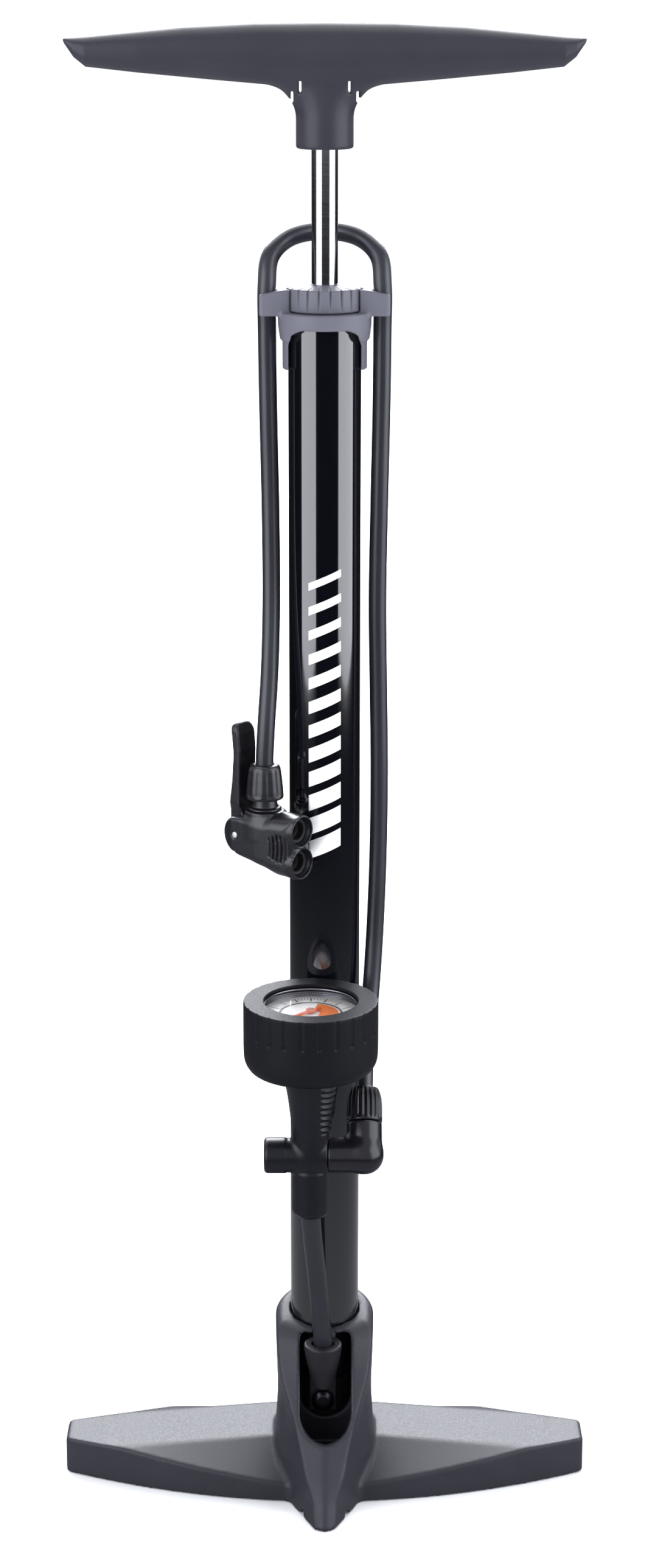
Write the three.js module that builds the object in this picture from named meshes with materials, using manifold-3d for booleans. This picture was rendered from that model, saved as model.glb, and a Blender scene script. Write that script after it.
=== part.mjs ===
// Floor bike pump: a barrel on a winged foot, a gauge tower in front, and a hose that is
// clipped over the barrel cap and carries a twin valve head.
// Millimetres, +Z up. The origin is on the floor, on the barrel's axis; the gauge is on the -Y side.
import * as THREE from 'three';
import { mergeVertices } from 'three/addons/utils/BufferGeometryUtils.js';
import { ConvexGeometry } from 'three/addons/geometries/ConvexGeometry.js';
import Module from 'manifold-3d';

const wasm = await Module();
wasm.setup();

// ---- driving dimensions -------------------------------------------------------------------
const GAP = 0.3;                  // clearance between neighbouring pieces
const ROUND = 24;                 // sides of a large round piece
const FINE = 14;                  // sides of a small round piece

const BARREL_R = 16;
const BARREL_BORE = 14.8;
const BARREL_BOTTOM = 52;
const BARREL_TOP = 551.7;

const BASE_HALF_SPAN = 124;
const BASE_FRONT = 40.5;          // half depth of the foot at the barrel, at the floor
const BASE_BACK = 36;
const TIP_DEPTH = 10.5;           // half depth of a wing at its tip
const TIP_HEIGHT = 18;
const WING_HEIGHT = 20.6;         // top of the wings beside the barrel
const MOUTH_Z = 80.5;             // rim of the housing round the barrel
const PROW = 70;                  // how far the prow reaches forward
const BASE_FLOOR = 11.7;          // thickness of the foot under the barrel
const SLOT_HALF = 12.1;
const SLOT_TOP = 76.5;
const SLOT_BOTTOM = 30.5;

const OUTLET_Z = 45;              // height of the air outlet in the barrel's foot
const FOOT_TOP = 64;
const SEAT_Z = 60;                // underside of the check valve's seat

const CONNECTOR_X = -0.8;
const CONNECTOR_Y = -27;
const CONNECTOR_TOP = 79.5;
const NECK_HOLE = 6.3;            // half width of the notch in the rim that the connector's neck fills
const PIPE_R = 4.4;

const TOWER_X = -6.2;
const TOWER_Y = -47.5;
const COLLAR_BOTTOM = 149.5;
const TEE_Z = 178.5;
const TEE_R = 8.2;
const TEE_LEFT = -27.5;
const TEE_RIGHT = 1.3;
const CONE_TOP = 219.2;

const GAUGE_R = 30.3;
const GAUGE_BOTTOM = 219.5;
const GAUGE_TOP = 253;
const GAUGE_OPENING = 21;
const DIAL_Z = 245.4;

const ELBOW_X = 18.1;
const ELBOW_LEAN = 35;            // degrees that the elbow leans back from upright
const ELBOW_R = 8.0;
const ELBOW_NUT_START = 15;       // along the leaning leg, from the tee's axis
const ELBOW_NUT_END = 31;

const HOSE_R = 4;
const HOSE_SPREAD = 25.2;         // half distance between the two runs of hose

const CAP_Z = 554.3;
const CAP_HEAD_TOP = 564.1;
const CAP_R = 16.3;
const EAR_HALF = 28.5;
const EAR_BOTTOM = 552.3;

const ROD_R = 5.7;
const ROD_BORE = 4.2;
const PISTON_R = 14.1;
const PISTON_BOTTOM = 114;        // lowest point of the piston nut
const HANDLE_BOTTOM = 623.4;
const HANDLE_TOP = 676.8;
const HANDLE_HALF = 111.4;
const NECK_R = 12.4;

const HEAD_AT = [-34.4, -8, 320.4];   // the lever's pin
const HEAD_YAW = -40;             // degrees that the outlets turn towards the front
const HEAD_HALF = 10;
const HEAD_LENGTH = 32.2;
const OUTLET_PITCH = 14.8;        // distance between the two outlets
const NECK_AT = 9.8;              // the hose's axis, along the head from its pin

// ---- finishes -----------------------------------------------------------------------------
const finish = (color, roughness, metalness = 0) =>
  new THREE.MeshStandardMaterial({ color, roughness, metalness });
const FINISH = {
  base: finish('#3e3d44', 0.6),
  cap: finish('#6e6d75', 0.6),
  handle: finish('#45434a', 0.55),
  paint: finish('#08080a', 0.12),
  chrome: finish('#d9dadd', 0.12, 1),
  steel: finish('#a9abb0', 0.35, 1),
  brass: finish('#b58d3d', 0.35, 1),
  black: finish('#1d1c20', 0.45),
  boot: finish('#2a292e', 0.7),
  hose: finish('#1a1a1e', 0.45),
  rubber: finish('#101012', 0.85),
  dial: finish('#f3f2ee', 0.5),
  needle: finish('#d8501c', 0.45),
  lens: finish('#eef4f6', 0.05),
};

// ---- solids -------------------------------------------------------------------------------
const rad = THREE.MathUtils.degToRad;
const at = (x, y, z) => new THREE.Matrix4().makeTranslation(x, y, z);
const turn = (x, y, z) => new THREE.Matrix4()
  .makeRotationFromEuler(new THREE.Euler(rad(x), rad(y), rad(z)));

// Volume enclosed by an indexed geometry; it is negative when the faces point inwards.
function signedVolume(points, index) {
  let sum = 0;
  for (let i = 0; i < index.length; i += 3) {
    const [a, b, c] = [0, 1, 2].map((k) => new THREE.Vector3().fromArray(points, 3 * index[i + k]));
    sum += a.dot(b.cross(c));
  }
  return sum / 6;
}

// A closed geometry as a solid that can be joined and cut, moved by the matrix.
function solid(geometry, matrix = new THREE.Matrix4()) {
  const bare = geometry.clone().applyMatrix4(matrix);
  for (const name of Object.keys(bare.attributes)) if (name !== 'position') bare.deleteAttribute(name);
  const merged = mergeVertices(bare, 1e-4);
  const points = new Float32Array(merged.attributes.position.array);
  const all = Array.from(merged.index.array);
  const index = [];
  for (let i = 0; i < all.length; i += 3) {
    const [a, b, c] = all.slice(i, i + 3);
    if (a !== b && b !== c && c !== a) index.push(a, b, c);
  }
  if (signedVolume(points, index) < 0) index.reverse();
  return new wasm.Manifold(new wasm.Mesh({
    numProp: 3, vertProperties: points, triVerts: new Uint32Array(index),
  }));
}

function surface(body) {
  const { vertProperties, triVerts } = body.getMesh();
  const geometry = new THREE.BufferGeometry();
  geometry.setAttribute('position', new THREE.BufferAttribute(new Float32Array(vertProperties), 3));
  geometry.setIndex(new THREE.BufferAttribute(new Uint32Array(triVerts), 1));
  geometry.computeVertexNormals();
  return geometry;
}

const joined = (first, ...rest) => rest.reduce((sum, body) => sum.add(body), first);
const cut = (first, ...rest) => rest.reduce((left, body) => left.subtract(body), first);

// A profile of [radius, height] points turned round the Z axis. It closes on itself.
function turned(profile, sides = ROUND, matrix = at(0, 0, 0)) {
  const closed = [...profile, profile[0]].map(([r, z]) => new THREE.Vector2(r, z));
  return solid(new THREE.LatheGeometry(closed, sides).rotateX(Math.PI / 2), matrix);
}

const rod = (r, low, high, sides = FINE) => turned([[0, low], [r, low], [r, high], [0, high]], sides);
const ring = (inner, outer, low, high, sides = ROUND) =>
  turned([[inner, low], [outer, low], [outer, high], [inner, high]], sides);
const oRing = (middle, r, z, sides = FINE) =>
  turned(Array.from({ length: 8 }, (_, i) => [
    middle + r * Math.cos(i * Math.PI / 4), z + r * Math.sin(i * Math.PI / 4),
  ]), sides);
const box = (x0, x1, y0, y1, z0, z1) =>
  solid(new THREE.BoxGeometry(x1 - x0, y1 - y0, z1 - z0), at((x0 + x1) / 2, (y0 + y1) / 2, (z0 + z1) / 2));
const hull = (points) => solid(new ConvexGeometry(points.map((p) => new THREE.Vector3(...p))));
const mirrored = (points) => [...points, ...points.map(([x, y, z]) => [-x, y, z])];

// An outline of [x, z] points given a thickness along Y, from y0 to y1.
function slab(outline, y0, y1) {
  const shape = new THREE.Shape(outline.map(([x, z]) => new THREE.Vector2(x, z)));
  const block = new THREE.ExtrudeGeometry(shape, { depth: y1 - y0, bevelEnabled: false });
  return solid(block.rotateX(Math.PI / 2), at(0, y1, 0));
}

// Rings of equal count, joined side by side and closed with a fan at each end.
function loft(rings) {
  const count = rings[0].length;
  const points = rings.flat();
  const index = [];
  for (let r = 0; r + 1 < rings.length; r += 1) {
    for (let i = 0; i < count; i += 1) {
      const [a, b] = [r * count + i, r * count + (i + 1) % count];
      index.push(a, b, b + count, a, b + count, a + count);
    }
  }
  for (const [start, flip] of [[0, true], [(rings.length - 1) * count, false]]) {
    const face = rings[start / count];
    const middle = [0, 1, 2].map((k) => face.reduce((sum, p) => sum + p[k], 0) / count);
    points.push(middle);
    for (let i = 0; i < count; i += 1) {
      const [a, b] = [start + i, start + (i + 1) % count];
      index.push(...(flip ? [b, a] : [a, b]), points.length - 1);
    }
  }
  const geometry = new THREE.BufferGeometry();
  geometry.setAttribute('position', new THREE.BufferAttribute(new Float32Array(points.flat()), 3));
  geometry.setIndex(index);
  return solid(geometry);
}

// A round section, with an optional bore, carried along a smooth path through the points.
function pipe(points, r, { bore = 0, sides = 10, steps = 24 } = {}) {
  const path = new THREE.CatmullRomCurve3(points.map((p) => new THREE.Vector3(...p)), false, 'centripetal');
  const circle = (radius) => Array.from({ length: sides }, (_, i) => new THREE.Vector2(
    radius * Math.cos(2 * Math.PI * i / sides), radius * Math.sin(2 * Math.PI * i / sides),
  ));
  const shape = new THREE.Shape(circle(r));
  if (bore) shape.holes.push(new THREE.Path(circle(bore)));
  return solid(new THREE.ExtrudeGeometry(shape, { steps, bevelEnabled: false, extrudePath: path }));
}

const hexagon = (r, low, high) => turned([[0, low], [r, low], [r, high], [0, high]], 6);
const mapTo = (body, matrix) => solid(surface(body), matrix);

const pump = new THREE.Group();
function piece(name, body, material, parent = pump) {
  const mesh = new THREE.Mesh(surface(body), material);
  mesh.name = name;
  parent.add(mesh);
  return mesh;
}

// ---- base ---------------------------------------------------------------------------------
// Depth of the foot's edge at the floor: a parabola that is deepest at the barrel.
const edgeDepth = (x, middle, tip) => middle - (middle - tip) * (x / BASE_HALF_SPAN) ** 2;

// One convex body for both wings. inset shrinks it for the hollow underneath.
function wings(inset = 0) {
  const top = inset ? -3 : 0;
  const points = [];
  for (const x of [0, 20, 45, 70, 97, 112, BASE_HALF_SPAN - inset]) {
    points.push([x, -edgeDepth(x, BASE_FRONT, TIP_DEPTH) + inset, 0]);
    points.push([x, edgeDepth(x, BASE_BACK, TIP_DEPTH) - inset, 0]);
  }
  const end = BASE_HALF_SPAN - inset;
  const facet = (x) => 8.4 + (18.4 - 8.4) * Math.max(0, (x - 18) / (97 - 18)) ** 0.9 + top;
  for (const x of [0, 20, 45, 70]) {
    points.push([x, -edgeDepth(x, BASE_FRONT, TIP_DEPTH) + inset, facet(x)]);
    points.push([x, edgeDepth(x, BASE_BACK, TIP_DEPTH) - inset, facet(x)]);
  }
  points.push([97, -20.3 + inset, 18.4 + top], [97, 18 - inset, 18.4 + top]);
  points.push([end, -TIP_DEPTH + inset, TIP_HEIGHT + top], [end, TIP_DEPTH - inset, TIP_HEIGHT + top]);
  points.push([0, -12 + inset, WING_HEIGHT + top], [0, 22 - inset, WING_HEIGHT + top]);
  points.push([25, -12 + inset, WING_HEIGHT + top], [25, 22 - inset, WING_HEIGHT + top]);
  return hull(mirrored(points));
}

// One level of the housing and its prow: round behind, a straight cheek on each side, and a flat
// face in front from (faceHalf, faceDepth) to the middle.
function level(z, halfWidth, cheekDepth, faceHalf, faceDepth, middleDepth) {
  const back = Array.from({ length: 9 }, (_, i) => {
    const angle = Math.PI * i / 8;
    return [halfWidth * Math.cos(angle), halfWidth * Math.sin(angle), z];
  });
  const left = [[-halfWidth, -cheekDepth, z], [-faceHalf, -faceDepth, z],
    [-faceHalf / 2, -(faceDepth + middleDepth * 2) / 3, z]];
  const right = left.map(([x, y]) => [-x, y, z]).reverse();
  return [...back, ...left, [0, -middleDepth, z], ...right];
}

function base() {
  const housing = loft([
    level(0, 26, 14, 4.2, 67, PROW),
    level(10, 25.8, 14, 4.8, 61.5, 64.5),
    level(20, 25.6, 13, 8, 56, 58.5),
    level(26, 25, 11, 9.6, 51, 54),
    level(33, 23, 9, 11.5, 46.5, 50),
    level(46, 21.3, 8, 15, 39.5, 42.5),
    level(58, 21.8, 7, 19.4, 29.5, 35),
    level(70, 22.9, 6, 21.8, 20, 30),
    level(76, 22.8, 4, 21.6, 15, 29),
    level(79, 21.6, 3, 20, 13.6, 27.6),
    level(MOUTH_Z, 19, 2, 17.5, 12, 25.4),
  ]);
  const slot = slab([
    ...Array.from({ length: 9 }, (_, i) => {
      const angle = Math.PI + Math.PI * i / 8;
      return [SLOT_HALF * Math.cos(angle), SLOT_BOTTOM + SLOT_HALF + SLOT_HALF * Math.sin(angle)];
    }),
    [SLOT_HALF, SLOT_TOP - 1.5], [SLOT_HALF - 1.5, SLOT_TOP],
    [1.5 - SLOT_HALF, SLOT_TOP], [-SLOT_HALF, SLOT_TOP - 1.5],
  ], -PROW, 0);
  const bore = rod(BARREL_R + GAP, BASE_FLOOR, MOUTH_Z + 1, ROUND);
  const pipeHole = joined(
    mapTo(rod(NECK_HOLE, SLOT_TOP - 1, MOUTH_Z + 1), at(CONNECTOR_X, CONNECTOR_Y, 0)),
    box(CONNECTOR_X - NECK_HOLE, CONNECTOR_X + NECK_HOLE, CONNECTOR_Y, -BARREL_R,
      SLOT_TOP - 1, MOUTH_Z + 1),
  );
  const hollow = wings(3).subtract(box(-31, 31, -60, 60, -1, 40))
    .subtract(box(72.5, 75.5, -60, 60, -1, 40)).subtract(box(-75.5, -72.5, -60, 60, -1, 40));
  const prowHollow = hull([
    [-13, -25, -1], [13, -25, -1], [-13, -40, -1], [13, -40, -1], [0, -62, -1],
    [-9, -25, 22], [9, -25, 22], [0, -46, 22],
  ]);
  const screwHole = joined(rod(4, -1, 6.3), rod(2.2, 6, 13));
  const screwHoles = SCREWS.map((place) => mapTo(screwHole, place));
  return cut(joined(wings(), housing), slot, bore, pipeHole, hollow, prowHollow, ...screwHoles);
}

const SCREW_CIRCLE = 10.5;
const SCREWS = [90, 210, 330].map((angle) => at(
  SCREW_CIRCLE * Math.cos(rad(angle)), SCREW_CIRCLE * Math.sin(rad(angle)), 0,
));

function barrelFoot() {
  const plug = turned([
    [0, BASE_FLOOR + GAP], [BARREL_R, BASE_FLOOR + GAP], [BARREL_R, BARREL_BOTTOM - GAP],
    [BARREL_BORE - GAP, BARREL_BOTTOM - GAP], [BARREL_BORE - GAP, 57], [13, 57], [13, 59.4],
    [BARREL_BORE - GAP, 59.4], [BARREL_BORE - GAP, FOOT_TOP], [0, FOOT_TOP],
  ]);
  const valveWell = joined(rod(5.2, OUTLET_Z - 3, SEAT_Z), rod(3, SEAT_Z - 1, FOOT_TOP + 1));
  const outlet = mapTo(rod(3.1, 0, 30), at(CONNECTOR_X, 0, OUTLET_Z).multiply(turn(90, 0, 0)));
  return cut(plug, valveWell, outlet, ...SCREWS.map((place) => mapTo(rod(2.2, 10, 26), place)));
}

// A helix of round wire, its ends bent level.
function spring(r, wire, low, high, turns) {
  const points = Array.from({ length: turns * 8 + 1 }, (_, i) => {
    const angle = 2 * Math.PI * i / 8;
    return [r * Math.cos(angle), r * Math.sin(angle), low + (high - low) * i / (turns * 8)];
  });
  return pipe(points, wire, { sides: 6, steps: turns * 8 });
}

function pipeConnector() {
  const cone = turned([[0, 53], [5, 53], [7, 54.5], [7.6, 57], [9, 74], [6, SLOT_TOP - GAP],
    [6, CONNECTOR_TOP], [0, CONNECTOR_TOP]], 20, at(CONNECTOR_X, CONNECTOR_Y, 0));
  const block = box(CONNECTOR_X - 6.5, CONNECTOR_X + 6.5, -24, -BARREL_R - GAP - 0.6, OUTLET_Z - 6, 60);
  const socket = mapTo(rod(PIPE_R + 0.6, 66, CONNECTOR_TOP + 1), at(CONNECTOR_X, CONNECTOR_Y, 0));
  const drop = pipe([
    [CONNECTOR_X, CONNECTOR_Y, 67], [CONNECTOR_X, -23, 58], [CONNECTOR_X, -20.5, OUTLET_Z],
  ], 2, { steps: 4, sides: 8 });
  const boltHole = mapTo(rod(3.1, 10, 30), at(CONNECTOR_X, 0, OUTLET_Z).multiply(turn(90, 0, 0)));
  return cut(joined(cone, block), socket, drop, boltHole);
}

function connectorScrew() {
  const bolt = turned([
    [1.2, 10], [2.8, 10], [2.8, 24.3], [5.2, 24.3], [5.2, 26.4], [3.6, 28], [0, 28.4],
    [0, 22], [1.2, 22],
  ], 16);
  const sideHole = mapTo(rod(0.9, -5, 5, 8), at(0, 0, 20.5).multiply(turn(90, 0, 0)));
  return mapTo(cut(bolt, sideHole), at(CONNECTOR_X, 0, OUTLET_Z).multiply(turn(90, 0, 0)));
}

piece('base', base(), FINISH.base);
piece('barrel_foot', barrelFoot(), FINISH.black);
piece('foot_o_ring', oRing(13.95, 0.75, 58.2, ROUND), FINISH.rubber);
SCREWS.forEach((place, i) => piece(`base_screw_${i + 1}`, mapTo(turned([
  [0, 3.5], [3.6, 3.5], [3.6, 6], [1.9, 6], [1.9, 24], [0, 24],
], 12), place), FINISH.steel));
piece('check_valve_disc', turned([
  [0, SEAT_Z - 2.6], [4.6, SEAT_Z - 2.6], [4.6, SEAT_Z - GAP], [0, SEAT_Z - GAP],
], 16), FINISH.rubber);
piece('check_valve_spring', spring(3.6, 0.45, OUTLET_Z - 2.2, SEAT_Z - 3.4, 4), FINISH.steel);
piece('pipe_connector', pipeConnector(), FINISH.black);
piece('connector_screw', connectorScrew(), FINISH.steel);

// ---- barrel, cap and hose bracket ----------------------------------------------------------
function capBracket() {
  const skirt = turned([
    [BARREL_R + GAP + 0.1, 529], [18.5, 529], [18.5, 541], [19.6, 542], [20.4, 548], [20.4, 554],
    [BARREL_BORE, 554], [BARREL_BORE, BARREL_TOP + GAP], [BARREL_R + GAP + 0.1, BARREL_TOP + GAP],
  ]);
  const arch = slab([[-15.7, 528], [15.7, 528], [15.7, 540], [14.6, 544.6], [12.3, 547], [-12.3, 547],
    [-14.6, 544.6], [-15.7, 540]], -30, 30);
  const top = (x) => 564.9 - 3.4 * (x / EAR_HALF) ** 2;
  const xs = [0, 8, 16, 22, EAR_HALF];
  const beam = slab([
    [-EAR_HALF, EAR_BOTTOM], [EAR_HALF, EAR_BOTTOM],
    ...[...xs].reverse().map((x) => [x, top(x)]), ...xs.slice(1).map((x) => [-x, top(x)]),
  ], -7.5, 7.5);
  const clips = [-1, 1].map((side) => joined(
    mapTo(rod(HOSE_R + 0.6, 540, 580, ROUND), at(side * HOSE_SPREAD, 0, 0)),
    box(Math.min(side * HOSE_SPREAD, side * 40), Math.max(side * HOSE_SPREAD, side * 40), -3, 3, 540, 580),
  ));
  const seat = joined(rod(CAP_R + GAP, 554, 580, ROUND), rod(BARREL_BORE, 545, 580, ROUND));
  const openBeam = cut(beam, rod(BARREL_R + GAP + 0.1, 540, 580, ROUND));
  return cut(joined(cut(skirt, arch), openBeam), seat, ...clips);
}

function barrelCap() {
  const ribs = 22;
  const head = turned([
    [0, 536], [BARREL_BORE - GAP, 536], [BARREL_BORE - GAP, CAP_Z], [CAP_R, CAP_Z],
    [CAP_R, CAP_HEAD_TOP - 0.8], [CAP_R - 0.8, CAP_HEAD_TOP], [9, 565.4], [0, 565.4],
  ], ribs);
  const grooves = Array.from({ length: ribs }, (_, i) => mapTo(
    box(CAP_R - 0.7, CAP_R + 2, -0.5, 0.5, CAP_Z + 1, CAP_HEAD_TOP - 1), turn(0, 0, 360 * (i + 0.5) / ribs),
  ));
  const bore = joined(rod(7.3, 530, 563, ROUND), rod(ROD_R + GAP, 560, 570, ROUND));
  return cut(head, bore, ...grooves);
}

piece('barrel', ring(BARREL_BORE, BARREL_R, BARREL_BOTTOM, BARREL_TOP), FINISH.paint);
piece('cap_bracket', capBracket(), FINISH.cap);
piece('barrel_cap', barrelCap(), FINISH.cap);
piece('rod_bush', ring(ROD_R + GAP, 7, 536.5, 558), FINISH.black);
piece('rod_wiper', ring(ROD_R + GAP, 6.9, 558.3, 562.6), FINISH.rubber);
piece('bump_ring', ring(ROD_R + 1, BARREL_BORE - 0.6, 528, 535.7), FINISH.rubber);

// ---- piston, rod and handle ----------------------------------------------------------------
const SEAL_Z = PISTON_BOTTOM + 8.3;
const PISTON_Z = SEAL_Z + 10.3;

function handleBody() {
  const sides = 16;
  // Half thickness of the grip in Y and its lower and upper edges, by distance from the middle.
  const station = (x, low, high, half) => {
    const ringPoints = [];
    for (let i = 0; i < sides; i += 1) {
      const angle = 2 * Math.PI * i / sides;
      const [cos, sin] = [Math.cos(angle), Math.sin(angle)];
      const square = (value) => Math.sign(value) * Math.abs(value) ** 0.75;
      ringPoints.push([x, half * square(cos), (low + high) / 2 + (high - low) / 2 * square(sin)]);
    }
    return ringPoints;
  };
  const half = [
    station(HANDLE_HALF - 4.4, 660, 670.3, 8), station(102, 657.6, 671.2, 10),
    station(80, 655.2, 673.2, 12.5), station(50, 652.4, 675.4, 14),
    station(22, 650, 676.6, 14.6), station(0, 648.5, HANDLE_TOP, 14.8),
  ];
  const tip = station(HANDLE_HALF, 668.6, 670, 6);
  const flipped = (points) => points.map(([x, y, z]) => [-x, y, z]);
  const grip = loft([tip, ...half, ...half.slice(0, -1).reverse().map(flipped), flipped(tip)]);
  const neck = turned([[0, HANDLE_BOTTOM], [NECK_R - 1.5, HANDLE_BOTTOM], [NECK_R, HANDLE_BOTTOM + 1.5],
    [NECK_R, 640], [13.2, 644], [14, 648], [14, 660], [0, 660]]);
  const flare = hull(mirrored([[11, -10, 641], [11, 10, 641], [22, -10, 650.4], [22, 10, 650.4],
    [22, 0, 656], [0, 0, 641]]));
  const socket = joined(rod(ROD_R + GAP, 620, 655.3), rod(ROD_BORE, 655, 665));
  return cut(joined(grip, neck, flare), socket);
}

function pistonHead() {
  return turned([[0, PISTON_BOTTOM + 0.5], [2.9, PISTON_BOTTOM + 0.5],
    [2.9, PISTON_Z - GAP], [2.9, PISTON_Z], [PISTON_R, PISTON_Z], [PISTON_R, PISTON_Z + 7],
    [7, PISTON_Z + 8], [ROD_BORE - GAP, PISTON_Z + 8],
    [ROD_BORE - GAP, PISTON_Z + 26], [0, PISTON_Z + 26]], 24);
}

piece('piston_head', pistonHead(), FINISH.black);
piece('piston_cup_seal', turned([
  [3.2, SEAL_Z + 8], [3.2, SEAL_Z + 10], [13.6, SEAL_Z + 10], [14.5, SEAL_Z + 8], [14.5, SEAL_Z],
  [12.9, SEAL_Z], [12.9, SEAL_Z + 8],
], ROUND), FINISH.rubber);
piece('piston_washer', ring(3.2, 10, SEAL_Z + 6, SEAL_Z + 7.7, FINE), FINISH.steel);
piece('piston_nut', cut(
  hexagon(6.4, PISTON_BOTTOM, SEAL_Z + 5.7), rod(3.2, PISTON_BOTTOM - 1, SEAL_Z + 7),
), FINISH.steel);
piece('piston_rod', ring(ROD_BORE, ROD_R, PISTON_Z + 8 + GAP, 655, 24), FINISH.chrome);
piece('handle_stud', rod(ROD_BORE - GAP, 632, 664.5, 16), FINISH.steel);
piece('handle', handleBody(), FINISH.handle);

// ---- gauge tower ---------------------------------------------------------------------------
const TOWER = at(TOWER_X, TOWER_Y, 0);
const alongX = (body, x, z) => mapTo(body, at(x, TOWER_Y, z).multiply(turn(0, 90, 0)));

function gaugeTower() {
  const column = mapTo(turned([
    [0, COLLAR_BOTTOM], [6.8, COLLAR_BOTTOM], [8.8, COLLAR_BOTTOM + 2.5], [8.8, 172],
    [8.8, 188], [9.4, 198], [10.6, 208], [13.2, CONE_TOP], [0, CONE_TOP],
  ], ROUND), TOWER);
  const tee = alongX(turned([
    [0, TEE_LEFT], [TEE_R - 1.4, TEE_LEFT], [TEE_R, TEE_LEFT + 1.6], [TEE_R, TEE_RIGHT],
    [0, TEE_RIGHT],
  ], 24), 0, TEE_Z);
  const pipeSocket = mapTo(rod(PIPE_R + 0.7, COLLAR_BOTTOM - 1, 158), TOWER);
  const airWay = mapTo(rod(2.5, 157, 206), TOWER);
  const gaugeThread = mapTo(rod(5.3, 204, CONE_TOP + 1), TOWER);
  const crossWay = alongX(rod(2.5, TOWER_X, 10), 0, TEE_Z);
  const elbowSocket = alongX(rod(5.6, TEE_RIGHT - 12, TEE_RIGHT + 1), 0, TEE_Z);
  const elbowFace = box(TEE_RIGHT, 10, TOWER_Y - 12, TOWER_Y + 12,
    TEE_Z - TEE_R - 0.6, TEE_Z + TEE_R + 0.6);
  return cut(joined(column, tee), pipeSocket, airWay, gaugeThread, crossWay, elbowSocket, elbowFace);
}

const PIPE_ROUTE = [
  [CONNECTOR_X, CONNECTOR_Y, 66.5], [CONNECTOR_X, CONNECTOR_Y, 78], [-1.6, -28.8, 86], [-3.4, -36.5, 112],
  [-5.6, -45.2, 138], [TOWER_X, TOWER_Y, 148], [TOWER_X, TOWER_Y, 157],
];

function gaugeBoot() {
  return mapTo(turned([
    [11, GAUGE_BOTTOM], [24, GAUGE_BOTTOM], [28, GAUGE_BOTTOM + 2], [GAUGE_R, GAUGE_BOTTOM + 6.5],
    [GAUGE_R, GAUGE_TOP - 1.2], [GAUGE_R - 1.2, GAUGE_TOP], [GAUGE_OPENING, GAUGE_TOP],
    [GAUGE_OPENING, GAUGE_TOP - 1.5], [27, GAUGE_TOP - 1.5], [27, GAUGE_BOTTOM + 5], [11, GAUGE_BOTTOM + 5],
  ], 32), TOWER);
}

function gaugeCase() {
  return mapTo(turned([
    [5.6, 225], [26.6, 225], [26.6, 249.3], [25.6, 249.3], [25.6, 226.2], [5.6, 226.2],
  ], ROUND), TOWER);
}

function lensRing() {
  return mapTo(turned([
    [22.4, 249.8], [26.6, 249.8], [26.6, 251.2], [20.6, 251.2], [20.6, 250.6], [21.6, 250.6],
  ], ROUND), TOWER);
}

function bourdonTube() {
  const turnPoints = Array.from({ length: 15 }, (_, i) => {
    const angle = rad(-80 + 250 * i / 14);
    return [TOWER_X + 19 * Math.cos(angle), TOWER_Y + 19 * Math.sin(angle), 230];
  });
  return pipe(turnPoints, 1.8, { sides: 8, steps: 16 });
}

const SECTOR_AT = [TOWER_X, TOWER_Y + 13.3];
const SECTOR_SWING = 45;          // degrees; six times this is the needle's sweep
function sectorGear() {
  const fan = [[-2.2, 1.6], [2.2, 1.6]];
  for (let i = 0; i <= 8; i += 1) {
    const angle = rad(-90 - SECTOR_SWING / 2 + 30 - 60 * i / 8);
    fan.push([11.8 * Math.cos(angle), 11.8 * Math.sin(angle)]);
  }
  const plate = new THREE.ExtrudeGeometry(
    new THREE.Shape(fan.map(([x, y]) => new THREE.Vector2(x, y))), { depth: 1, bevelEnabled: false },
  );
  return solid(plate, at(SECTOR_AT[0], SECTOR_AT[1], 234));
}

// The pointer lies along +X as it is made, then turns to its place at zero.
function gaugeNeedle() {
  const [low, high] = [DIAL_Z + 1.4, DIAL_Z + 2.2];
  const pointer = hull([
    [0, -0.9, low], [0, 0.9, low], [0, -0.9, high], [0, 0.9, high],
    [17, -0.25, low], [17, 0.25, low], [17, -0.25, high], [17, 0.25, high],
  ]);
  const hub = rod(2.2, low, high + 0.4, 16);
  const tail = box(-6, 0, -0.9, 0.9, low, high);
  return mapTo(cut(joined(hub, pointer, tail), rod(1.2, low - 1, high + 1)),
    at(TOWER_X, TOWER_Y, 0).multiply(turn(0, 0, 225)));
}

piece('air_pipe', pipe(PIPE_ROUTE, PIPE_R, { bore: 3, sides: 12, steps: 14 }), FINISH.black);
piece('gauge_tower', gaugeTower(), FINISH.black);
piece('gauge_boot', gaugeBoot(), FINISH.boot);
piece('gauge_case', gaugeCase(), FINISH.steel);
piece('gauge_socket', mapTo(turned([
  [2, 207], [5, 207], [5, 228], [7, 228], [7, 232], [2, 232],
], FINE), TOWER), FINISH.brass);
piece('bourdon_tube', bourdonTube(), FINISH.brass);
const arborHole = rod(1.3, 230, 236);
piece('movement_plate', mapTo(cut(box(-9, 9, -6, 16, 232.4, 233.4), arborHole), TOWER), FINISH.brass);
piece('sector_gear', sectorGear(), FINISH.brass);
piece('needle_arbor', mapTo(turned([[0, 232.6], [0.9, 232.6], [0.9, 233.7], [1.2, 233.7],
  [1.2, 235.4], [0.9, 235.4], [0.9, DIAL_Z + 2.6], [0, DIAL_Z + 2.6]], 12), TOWER), FINISH.steel);
piece('gauge_dial', mapTo(ring(1.4, 25.2, DIAL_Z, DIAL_Z + 0.8), TOWER), FINISH.dial);
piece('gauge_needle', gaugeNeedle(), FINISH.needle);
piece('gauge_lens', mapTo(rod(24.8, 248.4, 249.4, ROUND), TOWER), FINISH.lens);
piece('lens_ring', lensRing(), FINISH.black);

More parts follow.
